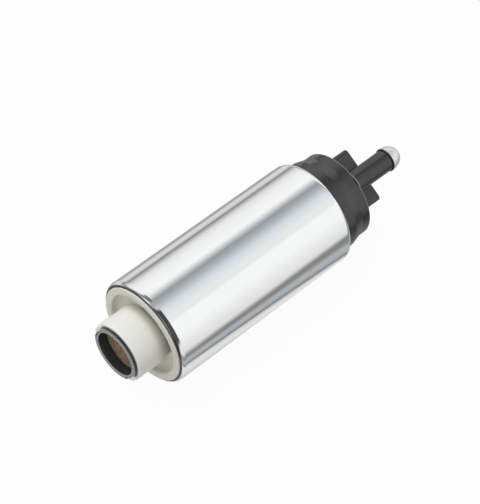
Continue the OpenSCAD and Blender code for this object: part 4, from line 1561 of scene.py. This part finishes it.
@dataclass
class BrushLeads(SubAssembly):
    """Twisted copper leads from the brushes to the terminals' tails."""

    strand_r: float = 0.24 * MM
    strands: int = 3
    twist_per_mm: float = 0.16
    knot_steps: int = 6

    def route(self, side: Side) -> list[Vector]:
        """Centre line of a lead, through the points of the part's source.

        Args:
            side: Side of the pump.

        Returns:
            Points along a smooth curve.
        """
        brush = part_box(f"brush_{side.word}")
        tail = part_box(f"terminal_{side.word}")
        s = side.value
        x0, y0, z0 = brush[1].x - 3 * MM, (brush[0].y + brush[1].y) / 2, brush[1].z + 0.01 * MM
        end = Vector((tail[0].x - 0.01 * MM, (tail[0].y + tail[1].y) / 2, tail[1].z - 0.4 * MM))
        z2 = end.z - 0.4 * MM
        knots = [
            Vector((x0, y0, z0)),
            Vector((x0 + 0.1 * MM, y0, z0 + 1 * MM)),
            Vector((x0 + 0.7 * MM, y0, z0 + 2 * MM)),
            Vector((x0 + 2.4 * MM, y0 - s * 0.3 * MM, z2 + 0.5 * MM)),
            Vector(((x0 + end.x) / 2 + 1 * MM, y0 - s * 1.1 * MM, z2 + 0.6 * MM)),
            end - Vector((1.6 * MM, 0, 0)),
            end - Vector((0.6 * MM, 0, 0)),
            end,
        ]
        points = []
        held = [knots[0], *knots, knots[-1]]
        for a, b, c, d in zip(held, held[1:], held[2:], held[3:]):
            for k in range(self.knot_steps):
                t = k / self.knot_steps
                square = (2 * a - 5 * b + 4 * c - d) * t**2
                cube = (3 * b - a - 3 * c + d) * t**3
                points.append(0.5 * (2 * b + (c - a) * t + square + cube))
        return points + [end]

    def strand(self, points: Sequence[Vector], number: int) -> list[Vector]:
        """Centre line of one strand, which winds about that of the lead.

        Args:
            points: Centre line of the lead.
            number: Number of the strand.

        Returns:
            Points of the strand.
        """
        travelled = 0.0
        path = []
        for i, (point, heading) in enumerate(zip(points, headings(points))):
            travelled += (point - points[max(i - 1, 0)]).length
            across = heading.cross(Vector((0, 1, 0))).normalized()
            up = heading.cross(across)
            turn = 2 * math.pi * (number / self.strands + self.twist_per_mm * travelled / MM)
            path.append(point + self.strand_r * (math.cos(turn) * across + math.sin(turn) * up))
        return path

    def build(self) -> None:
        """Makes both leads."""
        for side in Side:
            points = self.route(side)
            draft = Draft()
            for number in range(self.strands):
                draft.tube(self.strand(points, number), self.strand_r, 6)
            lead = draft.piece(f"twisted_lead_{side.word}")
            smooth(lead)
            self.shelf.dress(lead, "copper")
            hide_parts(f"brush_lead_{side.word}")
            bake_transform(lead)
            self.pieces.append(lead.name)


@dataclass
class InnerParts:
    """Nodes of the frame that keep their own shape and only get a finish."""

    shelf: Shelf
    record: dict
    nodes: dict[str, bpy.types.Object]

    def dress(self) -> list[str]:
        """Coats every node with the finish of its slot.

        Returns:
            The names of the nodes.
        """
        for part in self.record["subparts"]:
            self.shelf.coat(self.nodes[part["node"]], part["material_slot"])
        return [part["node"] for part in self.record["subparts"]]


@dataclass(frozen=True)
class TentStop:
    """Brightness of the light tent at one angle about the pump's axis.

    Attributes:
        angle: Angle in degrees.
        level: Brightness, where 1 is white.
        tint: Colour of the cloth there.
    """

    angle: float
    level: float
    tint: Colour = (1.0, 1.0, 1.0)

    def colour(self) -> tuple[float, float, float, float]:
        """Colour of the light, with its alpha."""
        return (*(self.level * share for share in self.tint), 1.0)


WHITE = (1.0, 1.0, 1.0, 1.0)
COOL = (0.915, 0.995, 1.055)
OLIVE = (1.0, 1.0, 0.93)


@dataclass
class Studio:
    """Pale floor, one soft lamp and a white tent whose gaps the metal shows."""

    fill_level: float = 0.57
    floor_white: float = 0.94
    floor_x: Pair = (-2.0, 2.2)
    floor_half: float = 2.0
    lamp_power: float = 4.7
    lamp_size: float = 0.6
    lamp_place: Vector = field(default_factory=lambda: Vector((-0.15, 0.55, 0.75)))
    lamp_target: Vector = field(default_factory=lambda: Vector((0.05, 0.0, 0.0)))
    hood_y: tuple[Pair, Pair] = ((0.42, 0.28), (-0.88, -0.74))
    strip_y: tuple[Pair, Pair] = ((0.64, 0.7), (0.9, 0.84))
    strip_share: float = 0.8
    dark_x: tuple[Pair, Pair] = ((0.3, 0.1), (-0.96, -0.86))
    dark_z: Pair = (-0.5, 0.0)
    dark_depth: float = 0.93
    end_lamp_x: Pair = (0.92, 0.98)
    end_lamp_level: float = 0.3
    tent: tuple[TentStop, ...] = (
        TentStop(-180, 0.5),
        TentStop(-152, 0.36),
        TentStop(-138, 0.76),
        TentStop(-127, 0.68),
        TentStop(-119, 0.22),
        TentStop(-111, 0.54),
        TentStop(-102, 0.8),
        TentStop(-88, 0.93),
        TentStop(-60, 1.0),
        TentStop(-43, 0.34, COOL),
        TentStop(-32, 0.47, COOL),
        TentStop(-16, 0.78, COOL),
        TentStop(0, 0.87),
        TentStop(11, 0.88),
        TentStop(14, 1.0),
        TentStop(38, 1.0),
        TentStop(80, 0.78),
        TentStop(90, 0.24),
        TentStop(97, 0.26, OLIVE),
        TentStop(104, 0.5, COOL),
        TentStop(114, 0.46, COOL),
        TentStop(121, 0.14),
        TentStop(129, 0.74),
        TentStop(145, 0.8),
        TentStop(180, 0.6),
    )

    def tent_light(self, graph: Graph) -> Socket:
        """Light that the tent sends, by the direction it is seen in.

        Args:
            graph: World that it is drawn in.

        Returns:
            The shader's socket.
        """
        seen = graph.split(graph.node("ShaderNodeTexCoord").outputs["Generated"])
        x, y, z = seen
        turn = graph.work("ARCTAN2", graph.work("MULTIPLY", y, -1.0), z)
        spread = graph.remap(x, (0.38, 0.5), (1.6, 0.4))
        level = math.pi / 2
        below = graph.work("MAXIMUM", graph.work("SUBTRACT", turn, level), 0.0)
        above = graph.work("MINIMUM", turn, level)
        angle = graph.work("MULTIPLY_ADD", below, spread, above)
        ramp = graph.node("ShaderNodeValToRGB")
        graph.link(graph.work("MULTIPLY_ADD", angle, 0.5 / math.pi, 0.5), ramp.inputs["Fac"])
        stops = ramp.color_ramp.elements
        for number, stop in enumerate(self.tent):
            place = stop.angle / 360 + 0.5
            made = stops.new(place) if number > 1 else stops[number]
            made.position = place
            made.color = stop.colour()
        light = graph.node("ShaderNodeBackground")
        graph.link(ramp.outputs["Color"], light.inputs["Color"])
        graph.link(self.tent_ends(graph, seen), light.inputs["Strength"])
        return light.outputs["Background"]

    def tent_ends(self, graph: Graph, seen: tuple[Socket, Socket, Socket]) -> Socket:
        """Strength of the tent: dark round the lens, and a small lamp past the outlet.

        Args:
            graph: World that it is drawn in.
            seen: X, Y and Z of the direction.

        Returns:
            The socket that gives it.
        """
        x, y, z = seen
        strip = graph.window(y, *self.strip_y)
        sides = graph.work("MULTIPLY_ADD", strip, self.strip_share, graph.window(y, *self.hood_y))
        ahead = graph.work("MULTIPLY", graph.window(x, *self.dark_x), graph.fade(z, *self.dark_z))
        dark = graph.work("MULTIPLY", sides, ahead)
        lamp = graph.work("MULTIPLY", graph.fade(x, *self.end_lamp_x), self.end_lamp_level)
        return graph.work("ADD", graph.work("MULTIPLY_ADD", dark, -self.dark_depth, 1.0), lamp)

    def build_world(self) -> None:
        """White for the camera, the tent for reflections and a plain fill for the rest."""
        world = bpy.data.worlds.new("light_tent")
        bpy.context.scene.world = world
        graph = Graph(world)
        fill, white = (
            graph.node("ShaderNodeBackground", {"Color": WHITE, "Strength": strength})
            for strength in (self.fill_level, 1.0)
        )
        glossy = graph.node("ShaderNodeLightPath").outputs["Is Glossy Ray"]
        lit = graph.blend(glossy, fill.outputs["Background"], self.tent_light(graph))
        shown = graph.blend(graph.straight(), lit, white.outputs["Background"])
        output = graph.node("ShaderNodeOutputWorld")
        graph.link(shown, output.inputs["Surface"])

    def build_floor(self) -> None:
        """Pale floor under the shell that keeps a light shadow, and that reflections pass by."""
        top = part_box("shell")[0].z
        low, high = self.floor_x
        half = self.floor_half
        outline = ((low, -half), (high, -half), (high, half), (low, half))
        corners = [Vector((x, y, top)) for x, y in outline]
        under = [corner - Vector((0, 0, 0.01)) for corner in corners]
        floor = Draft().skin([corners, under], closed=False).piece("floor")
        floor.visible_glossy = False
        material = bpy.data.materials.new("pale_floor")
        graph = Graph(material)
        cloth = graph.node("ShaderNodeBsdfDiffuse", {"Color": (0.9, 0.9, 0.9, 1.0)})
        white = graph.node("ShaderNodeEmission", {"Color": WHITE, "Strength": 1.0})
        share = graph.work("MULTIPLY", graph.straight(), self.floor_white)
        shown = graph.blend(share, cloth.outputs["BSDF"], white.outputs["Emission"])
        output = graph.node("ShaderNodeOutputMaterial")
        graph.link(shown, output.inputs["Surface"])
        floor.data.materials.append(material)

    def build_lamp(self) -> None:
        """Soft lamp above the far side of the pump."""
        light = bpy.data.lights.new("soft_lamp", "AREA")
        light.shape = "DISK"
        light.size = self.lamp_size
        light.energy = self.lamp_power
        lamp = add_object("soft_lamp", light)
        lamp.location = self.lamp_place
        aim = self.lamp_target - self.lamp_place
        lamp.rotation_euler = aim.to_track_quat("-Z", "Y").to_euler()
        lamp.visible_glossy = False

    def build(self) -> None:
        """Makes the room."""
        self.build_world()
        self.build_floor()
        self.build_lamp()


@dataclass(frozen=True)
class PhotoCamera:
    """Camera fitted to the photograph.

    Attributes:
        target: Point on the pump's axis that the fit is centred on.
        distance: Depth of that point.
        foreshortening: Angle in degrees between the pump's axis and the picture plane.
        roll: Slope of the pump's axis in the picture, in degrees.
        side_turn: Turn about the pump's axis, in degrees.
        focal_px: Focal length in pixels of the photograph.
        target_px: Where the target falls in the photograph.
        photo_px: Width and height of the photograph.
    """

    target: Vector = field(default_factory=lambda: Vector((54.82 * MM, 0.0, 0.0)))
    distance: float = 0.75
    foreshortening: float = 26.5
    roll: float = 35.69
    side_turn: float = 1.1
    focal_px: float = 2222.6
    target_px: Pair = (236.7, 266.33)
    photo_px: tuple[int, int] = (480, 504)
    sensor_mm: float = 36.0

    def build(self) -> None:
        """Makes the camera and hands it to the scene."""
        a, t = math.radians(self.roll), math.radians(self.foreshortening)
        turn = Matrix.Rotation(-math.radians(self.side_turn), 3, "X")
        cos_a, sin_a, cos_t, sin_t = math.cos(a), math.sin(a), math.cos(t), math.sin(t)
        right = turn @ Vector((cos_a * cos_t, -sin_a, cos_a * sin_t))
        up = turn @ Vector((sin_a * cos_t, cos_a, sin_a * sin_t))
        back = turn @ Vector((-sin_t, 0.0, cos_t))
        per_px = self.distance / self.focal_px
        aside = (self.photo_px[0] / 2 - self.target_px[0]) * per_px
        above = (self.target_px[1] - self.photo_px[1] / 2) * per_px
        place = self.target + right * aside + up * above + back * self.distance
        data = bpy.data.cameras.new("photo_camera")
        data.sensor_fit = "VERTICAL"
        data.sensor_height = self.sensor_mm
        data.lens = self.focal_px * data.sensor_height / self.photo_px[1]
        data.clip_start = 0.01
        camera = add_object("photo_camera", data)
        axes = Matrix((right, up, back)).transposed().to_4x4()
        camera.matrix_world = Matrix.Translation(place) @ axes
        bpy.context.scene.camera = camera


def main() -> None:
    """Loads the frame, builds every sub-assembly and reports its pieces."""
    logging.basicConfig(level=logging.INFO, format="%(relativeCreated)6d ms, %(name)s: %(message)s")
    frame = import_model()
    PhotoCamera().build()
    bpy.context.scene.view_settings.view_transform = "Standard"
    shelf = Shelf()
    inner = InnerParts(shelf, frame["record"], frame["nodes"])
    LOG.info("dressed %d nodes", len(inner.dress()))
    for kind in (RolledShell, InletEnd, OutletEnd, OutletTip, Terminals, Springs, BrushLeads):
        group = kind(shelf)
        group.build()
        LOG.info("%s made %s", kind.__name__, ", ".join(group.pieces))
    Studio().build()


if __name__ == "__main__":
    main()
